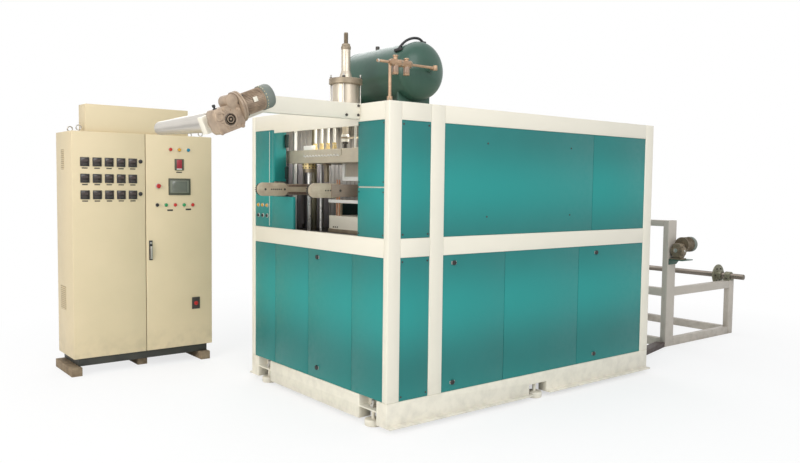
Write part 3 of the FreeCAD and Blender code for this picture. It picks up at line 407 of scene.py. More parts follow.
def rows(name, form, material, start, across=(1, (0.1, 0, 0)), up=(1, (0, 0, 0.1)), body="machine"):
    return repeated(name, rows_tree, form, material, body, start=tuple(start), across=across[0],
                    step_across=across[1], up=up[0], step_up=up[1])


def ring(name, form, material, centre, count, radius, turn=(0, 0, 0), phase=0.0, body="machine"):
    return repeated(name, ring_tree, form, material, body, centre=tuple(centre), count=count,
                    radius=radius, turn=turn, phase=phase)


def tube(name, points, radius, material, body="machine"):
    """A bent pipe along points, with smooth corners."""
    line = bpy.data.curves.new(name, "CURVE")
    line.dimensions = "3D"
    spline = line.splines.new("NURBS")
    spline.points.add(len(points) - 1)
    for spot, point in zip(spline.points, points):
        spot.co = (*point, 1.0)
    spline.order_u = 3
    spline.use_endpoint_u = True
    spline.resolution_u = 8
    line.bevel_depth = radius
    line.bevel_resolution = 3
    line.use_fill_caps = True
    form = bmesh.new()
    form.from_mesh(plain_mesh(placed(name + "_line", line)))
    bmesh.ops.remove_doubles(form, verts=form.verts, dist=0.00002)
    return shape(name, material, form, body)


cream = finish("cream enamel", (0.79, 0.745, 0.635), (0.765, 0.725, 0.615), 0.38, coat=0.1,
    dirt=(0.42, 0.40, 0.34))
bright_steel = finish("turned steel", (0.52, 0.50, 0.46), (0.44, 0.42, 0.39), 0.32, spots=10.0,
    metal=0.8)
# Dark oily steel for bolts, nuts and rods; the same finish is also painted shade in holes and in the
# drum's open end.
dark_steel_and_shade = finish("dark oily steel", (0.045, 0.042, 0.04), (0.08, 0.07, 0.06), 0.45, spots=8.0,
    metal=0.4)
black_plastic = finish("black plastic", (0.018, 0.018, 0.02), (0.03, 0.03, 0.03), 0.42)

for node in ("frame_posts", "mid_rails", "top_rails", "base_side_beams", "base_end_beams"):
    dressed(node, cream, 0.004)
dressed("levelling_feet", cream, 0.006)

machine_length = post_high.x - post_low.x
machine_width = post_high.y - post_low.y
end_shelf = 0.12
foot_nuts = bmesh.new()
for x in (0.05, machine_length - 0.05):
    for y in (0.204, machine_width - 0.204):
        nut(foot_nuts, at(x, y, end_shelf), (0, 0, 1), 0.038, 0.02)
        turned(foot_nuts, [(0.013, 0), (0.013, 0.045), (0.010, 0.048)], at(x, y, end_shelf),
               (0, 0, 1))
shape("foot_nuts", bright_steel, foot_nuts)

screw = bmesh.new()
turned(screw, [(0.0065, 0), (0.0065, 0.002), (0.0045, 0.0035), (0.0025, 0.0035), (0.002, 0.0022)],
       (0, 0, 0), (0, -1, 0), 12)
for level, height in ((1.262, 0.698), (0.218, 0.87)):
    rows(f"narrow_panel_screws_{round(level * 10)}", screw.copy(), dark_steel_and_shade,
         at(0.118, 0.005, level), (2, (0.209, 0, 0)), (2, (0, 0, height)))
rows("upper_panel_fasteners", screw, dark_steel_and_shade, at(0.863, 0.005, 1.364), (2, (0.889, 0, 0)), (2,
    (0, 0, 0.505)))

# The arm is bolted through the front rail.
arm_bolts = bmesh.new()
for x, z in ((-0.017, 2.085), (-0.110, 2.021), (-0.019, 2.025)):
    nut(arm_bolts, at(x, 0.31, z), (0, -1, 0), 0.016, 0.008)
shape("arm_bolts", dark_steel_and_shade, arm_bolts)


# The panels are folded sheet with a glossy teal enamel, and a wide band at mid height is painted
# lighter: painted light for the light of the hall that falls on them. Each hangs on turn latches.
teal = finish("teal enamel", (0.020, 0.174, 0.164), (0.022, 0.186, 0.176), 0.4, shine=0.25,
    band=((0.022, 0.268, 0.250), 0.80, 1.56))
# A dark finish for the rubber seals, also used as painted shade for a plate in the bay.
seal_and_shade_dark = finish("dark rubber seal and painted shade", (0.012, 0.030, 0.028), (0.02, 0.035, 0.03), 0.7)
for node in ("side_upper_panels", "side_lower_panels", "end_lower_panels", "rear_upper_panels",
             "control_panel", "front_near_panels", "folding_door"):
    dressed(node, teal, 0.003)

latch_plate = bmesh.new()
block(latch_plate, (-0.023, -0.003, -0.011), (0.023, 0.0, 0.011), 0.001)
latch_knob = bmesh.new()
turned(latch_knob, [(0.0165, 0), (0.0165, 0.007), (0.0145, 0.0095), (0.006, 0.0095),
    (0.005, 0.0075)], (0, -0.002, 0), (0, -1, 0), 20)
for side, y, facing in (("near", 0.005, 1), ("far", machine_width - 0.005, -1)):
    for name, form, material in (("latch_plates", latch_plate, bright_steel),
                                 ("latch_knobs", latch_knob, black_plastic)):
        form = form.copy()
        if facing < 0:
            bmesh.ops.rotate(form, cent=(0, 0, 0), matrix=Matrix.Rotation(math.pi, 3, "Z"),
                             verts=form.verts)
        rows(f"{side}_{name}", form, material, at(0.5615, y, 0.249), (2, (1.5285, 0, 0)), (2,
            (0, 0, 0.812)))
for end, x, angle in (("front", 0.005, -math.pi / 2), ("rear", machine_length - 0.005, math.pi / 2)):
    for name, form, material in (("latch_plates", latch_plate, bright_steel),
                                 ("latch_knobs", latch_knob, black_plastic)):
        form = form.copy()
        bmesh.ops.rotate(form, cent=(0, 0, 0), matrix=Matrix.Rotation(angle, 3, "Z"),
            verts=form.verts)
        rows(f"{end}_{name}", form, material, at(x, 0.824, 0.268), (1, (0, 0, 0)), (2,
            (0, 0, 0.792)))
latch_plate.free()
latch_knob.free()

# A cream strip stands behind the split between the two near front panels, and dark rubber
# edges close the folding door's upper leaf.
near_low, near_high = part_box("front_near_panels")
split_strip = bmesh.new()
split_level = 1.559
block(split_strip, at(0.014, 0.052, split_level - 0.012), at(0.024, 0.342, split_level + 0.016),
      0.001)
shape("split_strip", cream, split_strip)
door_seals = bmesh.new()
for low, high in ((1.855, 1.955), (1.615, 1.705)):
    block(door_seals, at(0.102, 1.436, low), at(0.126, 1.462, high), 0.002)
shape("door_seals", seal_and_shade_dark, door_seals)
front_screws = bmesh.new()
for y in (near_low.y + 0.014, near_high.y - 0.014):
    for z in (near_low.z + 0.02, split_level - 0.03, split_level + 0.034, near_high.z - 0.02):
        turned(front_screws, [(0.0055, 0), (0.0055, 0.002), (0.004, 0.003)], (near_low.x, y, z),
               (-1, 0, 0), 12)
shape("front_panel_screws", dark_steel_and_shade, front_screws)


# The control panel carries three amber push buttons over three black ones, each in a
# turned steel collar.
amber = finish("amber lens", (0.70, 0.36, 0.05), (0.62, 0.32, 0.04), 0.3, coat=0.3)
collar = bmesh.new()
turned(collar, [(0.0165, 0), (0.0165, 0.004), (0.0145, 0.006)], (0, 0, 0), (-1, 0, 0), 24)
cap = bmesh.new()
turned(cap, [(0.0115, 0.005), (0.0115, 0.013), (0.009, 0.016), (0, 0.0168)], (0, 0, 0), (-1, 0, 0),
       24)
panel_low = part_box("control_panel")[0]
shape("panel_seam", cream, block(bmesh.new(),
    (panel_low.x - 0.0015, corner.y + 1.519, panel_low.z + 0.012),
    (panel_low.x + 0.002, corner.y + 1.5225, near_high.z - 0.01), 0.0005))
button_step = (0, 0.069, 0)
first_button = Vector((panel_low.x, corner.y + 1.551, 1.407))
second_button = Vector((panel_low.x, corner.y + 1.551, 1.326))
rows("panel_collars", collar, bright_steel, second_button, (3, button_step), (2, (0, 0, 0.081)))
rows("amber_buttons", cap.copy(), amber, first_button, (3, button_step))
rows("black_buttons", cap, black_plastic, second_button, (3, button_step))


# The roof is painted sheet. The forming cylinder on it is a steel barrel between square-edged
# flanges, held by tie rods, with a tall adjusting neck and a threaded spindle.
barrel_steel = finish("honed barrel steel", (0.62, 0.55, 0.45), (0.54, 0.475, 0.385), 0.38,
    spots=6.0, peel=0.0, metal=0.65, grain=(18.0, (1.0, 1.0, 0.15)))
flange_steel = finish("brown oiled flange", (0.34, 0.28, 0.20), (0.25, 0.20, 0.145), 0.45,
    spots=14.0, metal=0.4)
dressed("roof_plate", cream, 0.002)
stack_low, stack_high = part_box("main_cylinder")
axis_point = Vector(((stack_low.x + stack_high.x) / 2, (stack_low.y + stack_high.y) / 2,
    stack_low.z))
flange_radius = (stack_high.x - stack_low.x) / 2
barrel_radius = flange_radius * 96 / 121
cap_bottom, cap_top = 0.192, 0.234
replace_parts(shape("cylinder_barrel", barrel_steel, turned(bmesh.new(), [(0.023, 0),
    (flange_radius, 0), (flange_radius, 0.0045), (flange_radius - 0.002, 0.006),
    (barrel_radius, 0.006), (barrel_radius, cap_bottom), (0.023, cap_bottom), (0.023, 0)],
    axis_point, up, 64)), "main_cylinder")
shape("cylinder_cap", flange_steel, turned(bmesh.new(), [(flange_radius - 0.004, cap_bottom),
    (flange_radius, cap_bottom + 0.004), (flange_radius, cap_top - 0.004),
    (flange_radius - 0.004, cap_top)], axis_point, up, 64))
neck = bmesh.new()
neck_top = 0.442
turned(neck, [(0.050, cap_top), (0.048, cap_top + 0.012), (0.036, cap_top + 0.050),
    (0.033, cap_top + 0.058), (0.033, neck_top)], axis_point, up, 40)
shape("cylinder_neck", barrel_steel, neck)
shape("cylinder_neck_head", flange_steel, turned(bmesh.new(), [(0.034, neck_top),
    (0.0360, neck_top + 0.006), (0.0360, neck_top + 0.020), (0.031, neck_top + 0.030),
    (0.030, neck_top + 0.040), (0.026, neck_top + 0.043)], axis_point, up, 12), smooth=20.0)
spindle = bmesh.new()
spindle_start, spindle_stop = neck_top + 0.043, stack_high.z - stack_low.z
pitch = 0.004
threads = int((spindle_stop - spindle_start - 0.004) / pitch)
profile = [(0, spindle_start)]
for index in range(threads):
    profile += [(0.0160, spindle_start + index * pitch + 0.0008),
                (0.0138, spindle_start + index * pitch + 0.0028)]
profile += [(0.0140, spindle_stop - 0.002), (0.012, spindle_stop), (0, spindle_stop)]
turned(spindle, profile, axis_point, up, 24)
shape("cylinder_spindle", flange_steel, spindle, smooth=70.0)
tie_rod = bmesh.new()
turned(tie_rod, [(0.0055, 0.004), (0.0055, 0.262), (0.004, 0.264)], (0, 0, 0), (0, 0, 1), 12)
tie_nut = bmesh.new()
nut(tie_nut, (0, 0, cap_top), (0, 0, 1), 0.019, 0.012)
turned(tie_nut, [(0.0125, cap_top - 0.0005), (0.0125, cap_top + 0.002)], (0, 0, 0), (0, 0, 1), 16)
ring("cylinder_tie_rods", tie_rod, bright_steel, axis_point, 4, 0.107, phase=0.839)
ring("cylinder_tie_nuts", tie_nut, dark_steel_and_shade, axis_point, 4, 0.107, phase=0.839)


# The air tank is rolled plate with pressed ends, welded around and sprayed dark green. It
# rests on plate saddles and has a socket for the air line, a small nozzle and a carrying hoop.
tank_green = finish("tank green enamel", (0.028, 0.086, 0.062), (0.040, 0.094, 0.068), 0.36,
    spots=1.5, coat=0.1)
dressed("tank_shell", tank_green, 0.0)
dressed("tank_heads", tank_green, 0.001)
dressed("tank_saddles", tank_green, 0.002)
tank_low, tank_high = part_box("tank_shell")
tank_x = (tank_low.x + tank_high.x) / 2
tank_z = (tank_low.z + tank_high.z) / 2
tank_radius = (tank_high.z - tank_low.z) / 2
weld = bmesh.new()
for y in (tank_low.y, tank_high.y):
    bead = [(tank_radius - 0.003, -0.005), (tank_radius + 0.0012, -0.002),
            (tank_radius + 0.0016, 0.0), (tank_radius + 0.0012, 0.002),
            (tank_radius - 0.003, 0.005), (tank_radius - 0.003, -0.005)]
    turned(weld, bead, (tank_x, y, tank_z), (0, 1, 0), 96)
shape("tank_welds", tank_green, weld)
shape("tank_nozzle", dark_steel_and_shade, turned(bmesh.new(), [(0.016, -0.004), (0.016, 0.030),
    (0.0135, 0.033)], (tank_x, tank_high.y - 0.19, tank_z + tank_radius), up, 20))
tube("tank_hoop", [(tank_x - 0.168, tank_low.y + 0.068, tank_z + 0.118),
    (tank_x - 0.128, tank_low.y + 0.052, tank_z + 0.190),
    (tank_x - 0.050, tank_low.y + 0.034, tank_z + 0.238),
    (tank_x + 0.030, tank_low.y + 0.018, tank_z + 0.236),
    (tank_x + 0.048, tank_low.y + 0.014, tank_z + 0.196)], 0.0095, black_plastic)
hoop_feet = bmesh.new()
for along_x, level in ((-0.160, 0.126), (0.046, 0.197)):
    block(hoop_feet, (tank_x + along_x - 0.020, tank_low.y + 0.005, tank_z + level),
          (tank_x + along_x + 0.020, tank_low.y + 0.080, tank_z + level + 0.022), 0.005)
shape("hoop_feet", black_plastic, hoop_feet)


# The air line rises from the roof through a union to a bronze regulator with two filter
# bowls, and turns into the tank's socket. Its lever ends in a bright ball.
bronze_body = finish("old bronze", (0.46, 0.31, 0.20), (0.34, 0.22, 0.14), 0.38, spots=30.0,
    metal=0.55)
bowl_glass = finish("smoked bowl", (0.36, 0.24, 0.17), (0.30, 0.20, 0.14), 0.2, coat=0.5)
dressed("valve_group", bronze_body, 0.0015)
valve_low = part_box("valve_group")[0]
line_y = corner.y + 0.400
line_z = tank_z
fittings = bmesh.new()
for x in (0.319, 0.400, 0.484):
    nut(fittings, Vector((corner.x + x - 0.010, line_y, line_z)), (1, 0, 0), 0.047, 0.016)
nut(fittings, Vector((corner.x + 0.307, line_y, 2.152)), up, 0.036, 0.018)
shape("valve_nuts", flange_steel, fittings)
lever_ball = bmesh.new()
ball = [(0.0115 * math.sin(math.pi * step / 10), 0.0115 - 0.0115 * math.cos(math.pi * step / 10))
        for step in range(11)]
ball[0] = (0, 0)
ball[-1] = (0, 0.023)
turned(lever_ball, ball, Vector((valve_low.x, line_y, line_z)), (1, 0, 0), 20)
shape("valve_lever_ball", bright_steel, lever_ball)
bowls = bmesh.new()
for x in (0.353, 0.450):
    turned(bowls, [(0.0225, 0.02), (0.0225, 0.064), (0.019, 0.074), (0.008, 0.0785)],
           Vector((corner.x + x, line_y, line_z)), (0, 0, -1), 24)
shape("filter_bowls", bowl_glass, bowls)
caps = bmesh.new()
for x, height in ((0.353, 0.052), (0.450, 0.040)):
    turned(caps, [(0.015, 0.015), (0.015, height - 0.012), (0.019, height - 0.008),
        (0.019, height - 0.002), (0.016, height)], Vector((corner.x + x, line_y, line_z)), up, 24)
turned(caps, [(0.017, 0.0), (0.017, 0.028), (0.014, 0.032)],
       Vector((corner.x + 0.307, line_y - 0.032, line_z)), (0, 1, 0), 24)
shape("regulator_knobs", bronze_body, caps)


# The forming bay: ground steel platen on bushes, with a row of white air nozzles along its
# beam, brass pipe fittings on top and the white-framed upper mould below.
platen_steel = finish("ground platen steel", (0.56, 0.50, 0.385), (0.47, 0.42, 0.33), 0.42,
    spots=9.0, metal=0.2, grain=(25.0, (8.0, 1.0, 8.0)))
brass = finish("brass fittings", (0.74, 0.60, 0.30), (0.64, 0.50, 0.25), 0.34, spots=40.0,
    metal=0.45)
beige_block = finish("cast manifold block", (0.50, 0.455, 0.36), (0.44, 0.40, 0.32), 0.5,
    spots=20.0)
chrome = finish("chromed column", (0.80, 0.79, 0.76), (0.72, 0.71, 0.69), 0.3, spots=12.0,
    metal=0.35)
white_paint = finish("white paint", (0.82, 0.82, 0.79), (0.76, 0.76, 0.72), 0.4)
grey_cast = finish("grey mould casting", (0.46, 0.41, 0.34), (0.40, 0.36, 0.30), 0.5, spots=12.0)
copper = finish("copper tube", (0.45, 0.22, 0.12), (0.38, 0.19, 0.11), 0.35, spots=30.0, metal=0.7)
dressed("upper_platen", platen_steel, 0.002)
dressed("guide_columns", chrome, 0.001)
dressed("white_posts", white_paint, 0.002)
dressed("platen_pipes", white_paint, 0.0)
beam_top = 1.829
rows("air_nozzles", turned(bmesh.new(), [(0.0095, 0), (0.0095, 0.006), (0.006, 0.008),
    (0.0055, 0.018), (0.003, 0.020)], (0, 0, 0), (-1, 0, 0), 14), white_paint,
     at(0.151, 0.78, 1.785), (12, (0, 0.0405, 0)), body="platen")
pipe_low, pipe_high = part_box("platen_pipes")
pipe_x = (pipe_low.x + pipe_high.x) / 2
pipe_nuts = bmesh.new()
for y in (pipe_low.y + 0.010 + 0.086 * index for index in range(4)):
    nut(pipe_nuts, (pipe_x, y, beam_top), up, 0.034, 0.020)
    turned(pipe_nuts, [(0.0145, 0.02), (0.0145, 0.030), (0.012, 0.034)], (pipe_x, y, beam_top), up,
           18)
    nut(pipe_nuts, (pipe_x, y, beam_top + 0.036), up, 0.030, 0.014)
shape("pipe_fittings", brass, pipe_nuts, "platen")
shape("beam_block", white_paint, block(bmesh.new(), at(0.152, 1.142, beam_top),
    at(0.184, 1.262, beam_top + 0.034), 0.003), "platen")

shape("air_manifold", beige_block, block(bmesh.new(), at(0.143, 0.745, 1.783),
    at(0.1505, 1.262, 1.8285), 0.0015), "platen")

rows("bush_flanges", turned(bmesh.new(), [(0.052, 0.0005), (0.052, 0.016), (0.049, 0.018),
    (0.049, 0.022), (0.052, 0.024), (0.052, 0.040), (0.050, 0.042)], (0, 0, 0), (0, 0, -1), 40),
     brass, at(0.225, 0.404, 1.732), (2, (0.705, 0, 0)), (2, (0, 0.892, 0)), body="platen")
rows("bush_necks", turned(bmesh.new(), [(0.0396, 0.041), (0.0396, 0.0686)], (0, 0, 0), (0, 0, -1),
    32), flange_steel, at(0.225, 0.404, 1.732), (2, (0.705, 0, 0)), (2, (0, 0.892, 0)),
     body="platen")
bush_bolt = bmesh.new()
nut(bush_bolt, (0.0515, 0, -0.009), (1, 0, 0), 0.010, 0.004)
nut(bush_bolt, (0.0515, 0, -0.032), (1, 0, 0), 0.010, 0.004)
for index, (x, y) in enumerate(((0.225, 0.404), (0.225, 1.296), (0.930, 0.404), (0.930, 1.296))):
    ring(f"bush_bolts_{index}", bush_bolt.copy(), dark_steel_and_shade, at(x, y, 1.732), 12, 0.0,
         body="platen")
bush_bolt.free()

mould_low, mould_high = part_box("upper_mould")
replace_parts(shape("mould_core", grey_cast, block(bmesh.new(),
    mould_low + Vector((0.012, 0.004, 0.004)), mould_high - Vector((0.004, 0.004, 0.0)), 0.002),
    "platen"), "upper_mould")
mould_frame = bmesh.new()
front, left, bottom = mould_low.x, mould_high.y, mould_low.z
block(mould_frame, (front, left - 0.030, bottom), (front + 0.014, left, mould_high.z - 0.0005),
      0.002)
block(mould_frame, (front, mould_low.y, bottom),
      (front + 0.014, mould_low.y + 0.030, mould_high.z - 0.0005), 0.002)
block(mould_frame, (front, mould_low.y + 0.030, bottom),
      (front + 0.014, left - 0.030, bottom + 0.032), 0.002)
shape("mould_frame", white_paint, mould_frame, "platen")

# The spindle coupling: a dark rod from the beam, two bright nuts with a brown collar
# between them, and the pale plunger of the cylinder above.
rod_low, rod_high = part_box("cylinder_rod")
rod_axis = Vector(((rod_low.x + rod_high.x) / 2, (rod_low.y + rod_high.y) / 2, 0.0))
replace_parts(shape("spindle_foot", dark_steel_and_shade, turned(bmesh.new(), [(0.011, rod_low.z),
    (0.011, 1.866), (0.021, 1.870), (0.021, 1.884)], rod_axis, up, 24), "platen"), "cylinder_rod")
coupling = bmesh.new()
turned(coupling, [(0.026, 1.884), (0.028, 1.887), (0.028, 1.903), (0.026, 1.906)], rod_axis, up, 32)
turned(coupling, [(0.026, 1.918), (0.028, 1.921), (0.028, 1.933), (0.026, 1.936)], rod_axis, up, 32)
shape("coupling_nuts", white_paint, coupling, "platen")
shape("coupling_ring", flange_steel, turned(bmesh.new(), [(0.031, 1.906), (0.031, 1.918)], rod_axis,
    up, 32), "platen")
shape("plunger", barrel_steel, turned(bmesh.new(), [(0.022, 1.936), (0.022, rod_high.z)], rod_axis,
    up, 32), "platen")
shape("anti_turn_lever", barrel_steel, block(bmesh.new(),
    (rod_axis.x - 0.004, corner.y + 0.200, 1.9065),
    (rod_axis.x + 0.020, rod_axis.y - 0.027, 1.9175), 0.003), "platen")
hanger = bmesh.new()
block(hanger, at(0.284, 1.140, 1.590), at(0.306, 1.180, 1.732), 0.003)
block(hanger, at(0.270, 1.136, 1.716), at(0.320, 1.184, 1.7325), 0.002)
shape("mould_hanger", flange_steel, hanger, "platen")
shape("damper_rod", chrome, turned(bmesh.new(), [(0.0065, 0), (0.0065, 0.250), (0.005, 0.252)],
    at(0.300, 1.245, 1.7325), (0, 0, -1), 16), "platen")
shape("damper_sleeve", chrome, turned(bmesh.new(), [(0.0085, 0.02), (0.0105, 0.02), (0.0105, 0.330),
    (0.0085, 0.330), (0.0085, 0.02)], at(0.300, 1.245, 1.196), up, 20))
shape("vent_pipe", white_paint, turned(bmesh.new(), [(0.0085, 0), (0.0085, pipe_high.z - beam_top)],
    at(0.205, 0.655, beam_top), up, 16), "platen")

# The lower mould: a cream box with a row of small holes drawn as dark discs of painted shade,
# four dark pillars and a plate with a white edge, with two copper cooling tubes in front.
dressed("lower_mould_box", cream, 0.004)
dressed("lower_platen", platen_steel, 0.001)
plate_low, plate_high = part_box("lower_platen")
box_low, box_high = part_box("lower_mould_box")
shape("lower_plate_edge", white_paint, block(bmesh.new(),
    (plate_low.x - 0.007, plate_low.y, plate_high.z - 0.022),
    (plate_low.x - 0.0005, plate_high.y, plate_high.z + 0.001), 0.001))
# Dark discs on the box front are painted shade for a row of small holes.
rows("lower_box_screws", turned(bmesh.new(), [(0.006, 0), (0.006, 0.003), (0.004, 0.004)],
    (0, 0, 0), (-1, 0, 0), 12), dark_steel_and_shade, (box_low.x, box_high.y - 0.115, box_low.z + 0.040), (3,
    (0, 0.026, 0)))
shape("lower_box_foot", flange_steel, block(bmesh.new(),
    (box_low.x - 0.006, box_low.y - 0.012, box_low.z),
    (box_low.x + 0.012, box_high.y + 0.004, box_low.z + 0.026), 0.002))
cooling = bmesh.new()
for y in (1.006, 1.036):
    turned(cooling, [(0.0055, 0), (0.0055, 0.270), (0.004, 0.272)],
           (box_low.x + 0.010, corner.y + y, box_high.z - 0.001), up, 14)
shape("cooling_tubes", copper, cooling)
dressed("forming_deck", dark_steel_and_shade, 0.001)
dressed("heater_boxes", platen_steel, 0.003)

# The far side of the bay is lined with corrugated light metal. Cable ducts and an oiled
# square post stand in front of it.
lining_grey = finish("zinc lining", (0.42, 0.405, 0.38), (0.36, 0.345, 0.33), 0.5, spots=8.0,
    metal=0.1)
duct_grey = finish("mauve duct plastic", (0.27, 0.25, 0.26), (0.23, 0.21, 0.22), 0.5)
lining = bmesh.new()
waves, wave_depth, sheet_gauge = 30, 0.006, 0.0015
lining_low, lining_high = at(0.062, 1.690, 1.245), at(1.30, 1.690, 2.080)
faces = []
for gauge in (0.0, sheet_gauge):
    line = []
    for step in range(waves * 4 + 1):
        x = lining_low.x + (lining_high.x - lining_low.x) * step / (waves * 4)
        y = lining_low.y + gauge + wave_depth * math.sin(math.pi * step / 2)
        line.append([lining.verts.new((x, y, z)) for z in (lining_low.z, lining_high.z)])
    faces.append(line)
for line in faces:
    for low, high in zip(line, line[1:]):
        lining.faces.new((low[0], high[0], high[1], low[1]))
pairs = list(zip(*faces))
for low, high in zip(pairs, pairs[1:]):
    for level in (0, 1):
        lining.faces.new((low[0][level], high[0][level], high[1][level], low[1][level]))
for step in (0, -1):
    lining.faces.new((faces[0][step][0], faces[0][step][1], faces[1][step][1], faces[1][step][0]))
shape("side_lining", lining_grey, lining, smooth=60.0)
deck_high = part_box("forming_deck")[1]
rows("cable_ducts", block(bmesh.new(), (-0.022, -0.02, 0.0), (0.022, 0.02, 0.52), 0.002), duct_grey,
     (corner.x + 0.26, corner.y + 1.645, deck_high.z), (5, (0.085, 0, 0)))
olive_steel = finish("olive machine paint", (0.17, 0.155, 0.095), (0.13, 0.115, 0.075), 0.4,
    spots=10.0)
shape("tall_post", olive_steel, turned(bmesh.new(), [(0.021, 0), (0.021, 0.80), (0.019, 0.803)],
    (corner.x + 0.352, corner.y + 1.425, deck_high.z), up, 32))
# A thin very dark plate low on the far side of the bay is painted shade.
shape("shade_plate", seal_and_shade_dark, block(bmesh.new(), at(0.70, 1.60, 1.215), at(1.20, 1.61, 1.42),
    0.001))


# The chain rails are worn steel bars with paddle noses. A roller chain runs over a toothed wheel
# at each nose and along the bar; small pins show as dark holes in the paddles, drawn as painted
# shade.
rail_steel = finish("worn rail steel", (0.50, 0.44, 0.325), (0.36, 0.29, 0.21), 0.45, spots=16.0,
    metal=0.15, grain=(20.0, (1.0, 8.0, 8.0)))
guard_steel = finish("brown rail guard", (0.29, 0.225, 0.17), (0.22, 0.17, 0.13), 0.5, spots=16.0,
    metal=0.2, grain=(20.0, (1.0, 8.0, 8.0)))
for node in ("chain_rail_near", "chain_rail_far"):
    dressed(node, rail_steel, 0.003)
dressed("rail_guards", guard_steel, 0.002)
dressed("rail_arms", cream, 0.003)
nose_low, nose_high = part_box("chain_rail_near")
far_low, far_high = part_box("chain_rail_far")
nose_x = nose_low.x + 0.0485
rail_z = (nose_low.z + nose_high.z) / 2
# Thin dark discs on the rail faces are painted shade for the pin and pivot holes.
pin_hole = bmesh.new()
turned(pin_hole, [(0.0055, 0), (0.0055, 0.0008)], (0, 0, 0), (0, -1, 0), 14)
rows("near_pin_holes", pin_hole.copy(), dark_steel_and_shade, (nose_x + 0.075, nose_low.y, rail_z), (4,
    (0.019, 0, 0)))
rows("far_pin_holes", pin_hole, dark_steel_and_shade, (nose_x + 0.062, far_low.y, rail_z), (6, (0.016, 0, 0)))
guard_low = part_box("rail_guards")[0]
big_hole_shades = bmesh.new()
for x, y in ((nose_x + 0.185, guard_low.y), (nose_x + 0.012, far_low.y), (nose_x + 0.172, far_low.y)):
    turned(big_hole_shades, [(0.0085, 0), (0.0085, 0.001)], (x, y, rail_z), (0, -1, 0), 20)
shape("rail_pivot_holes", dark_steel_and_shade, big_hole_shades)
wheel_low, wheel_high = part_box("chain_sprockets")
wheels = bmesh.new()
wheel_radius = (wheel_high.z - wheel_low.z) / 2
for face_y in (nose_high.y, far_high.y):
    for offset in (0.006, 0.020):
        teeth = 18
        rim = []
        for step in range(teeth * 4):
            reach_out = wheel_radius - (0.0, 0.0, 0.008, 0.008)[step % 4]
            angle = 2 * math.pi * (step + 0.5) / (teeth * 4)
            rim.append((nose_x + reach_out * math.cos(angle), rail_z + reach_out * math.sin(angle)))
        faces = [[wheels.verts.new((x, face_y + offset + gauge, z)) for x, z in rim]
                 for gauge in (0.0, 0.007)]
        wheels.faces.new(faces[0])
        wheels.faces.new(faces[1][::-1])
        for index in range(len(rim)):
            after = (index + 1) % len(rim)
            wheels.faces.new((faces[0][index], faces[0][after], faces[1][after], faces[1][index]))
    turned(wheels, [(wheel_radius - 0.014, 0), (wheel_radius - 0.014, 0.031), (0.014, 0.031),
        (0.012, 0.034)], (nose_x, face_y, rail_z), (0, 1, 0), 28)
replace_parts(shape("toothed_wheels", dark_steel_and_shade, wheels), "chain_sprockets")
link = bmesh.new()
block(link, (-0.0095, 0.0, -0.0035), (0.0095, 0.004, 0.0035), 0.001)
chain_brown = finish("oiled chain", (0.14, 0.07, 0.055), (0.09, 0.05, 0.04), 0.4, spots=30.0,
    metal=0.4)
for name, low in (("near", nose_low), ("far", far_low)):
    rows(f"{name}_chain", link.copy(), chain_brown,
         (nose_low.x + 0.262, low.y - 0.0045, rail_z - 0.0265), (24, (0.0215, 0, 0)), (2,
        (0, 0, 0.053)))
link.free()


# The winder arm is box tube, mitred and welded. On its end sits a cast worm gearbox with a
# flanged motor under a sheet metal fan cover.
bronze_paint = finish("bronze machine paint", (0.44, 0.335, 0.24), (0.30, 0.225, 0.165), 0.42,
    spots=22.0, peel=0.05, peel_scale=120.0, metal=0.25)
fan_blue = finish("blue grey fan cover", (0.20, 0.22, 0.19), (0.15, 0.175, 0.155), 0.5, spots=9.0)
drum_steel = finish("polished drum steel", (0.66, 0.62, 0.56), (0.60, 0.565, 0.51), 0.32, spots=5.0,
    metal=0.85, peel=0.0, scuff=0.02)
dressed("winder_arm", cream, 0.003)
dressed("winder_gearbox", bronze_paint, 0.004)
gear_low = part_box("winder_gearbox")[0]
slope = math.radians(22.5)
drum_low, drum_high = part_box("winder_drum")
hub = Vector(((drum_low.x + drum_high.x) / 2, gear_low.y, (drum_low.z + drum_high.z) / 2))
along = Vector((math.cos(slope), 0, math.sin(slope)))
across_arm = Vector((-math.sin(slope), 0, math.cos(slope)))
gear_face = hub.y + 0.009
shape("hub_seal", dark_steel_and_shade, turned(bmesh.new(), [(0.020, 0.0), (0.032, 0.0), (0.032, 0.006),
    (0.029, 0.0085), (0.021, 0.0085), (0.020, 0.007), (0.020, 0.0)],
    (hub.x, gear_face - 0.0005, hub.z), (0, -1, 0), 32))
shape("hub_end", chrome, turned(bmesh.new(), [(0.0188, 0), (0.0188, 0.006), (0.016, 0.0085),
    (0.006, 0.0085), (0.004, 0.006)], (hub.x, gear_face - 0.0005, hub.z), (0, -1, 0), 24))
ring("gear_cover_bolts", nut(bmesh.new(), (0, 0, 0), (0, 0, 1), 0.011, 0.006), bronze_paint,
     (hub.x, gear_face, hub.z), 6, 0.050, (math.pi / 2, 0, 0), 0.4)
gear_details = bmesh.new()
cover_place = Vector((hub.x, gear_face, hub.z)) + along * -0.058 + across_arm * 0.034
turned(gear_details, [(0.026, 0), (0.026, 0.003), (0.023, 0.006), (0.015, 0.006), (0.013, 0.003)],
       cover_place, (0, -1, 0), 32)
turned(gear_details, [(0.034, 0), (0.046, 0), (0.045, 0.003), (0.035, 0.003), (0.034, 0)],
       (hub.x, gear_face, hub.z), (0, -1, 0), 40)
for reach_along, reach_up in ((-0.074, -0.055), (0.060, -0.058), (0.066, 0.036), (-0.014, 0.062)):
    lug = Vector((hub.x, gear_face, hub.z)) + along * reach_along + across_arm * reach_up
    turned(gear_details, [(0.0115, 0), (0.0115, 0.004), (0.0095, 0.006)], lug, (0, -1, 0), 20)
    nut(gear_details, lug + Vector((0, -0.0058, 0)), (0, -1, 0), 0.010, 0.004)
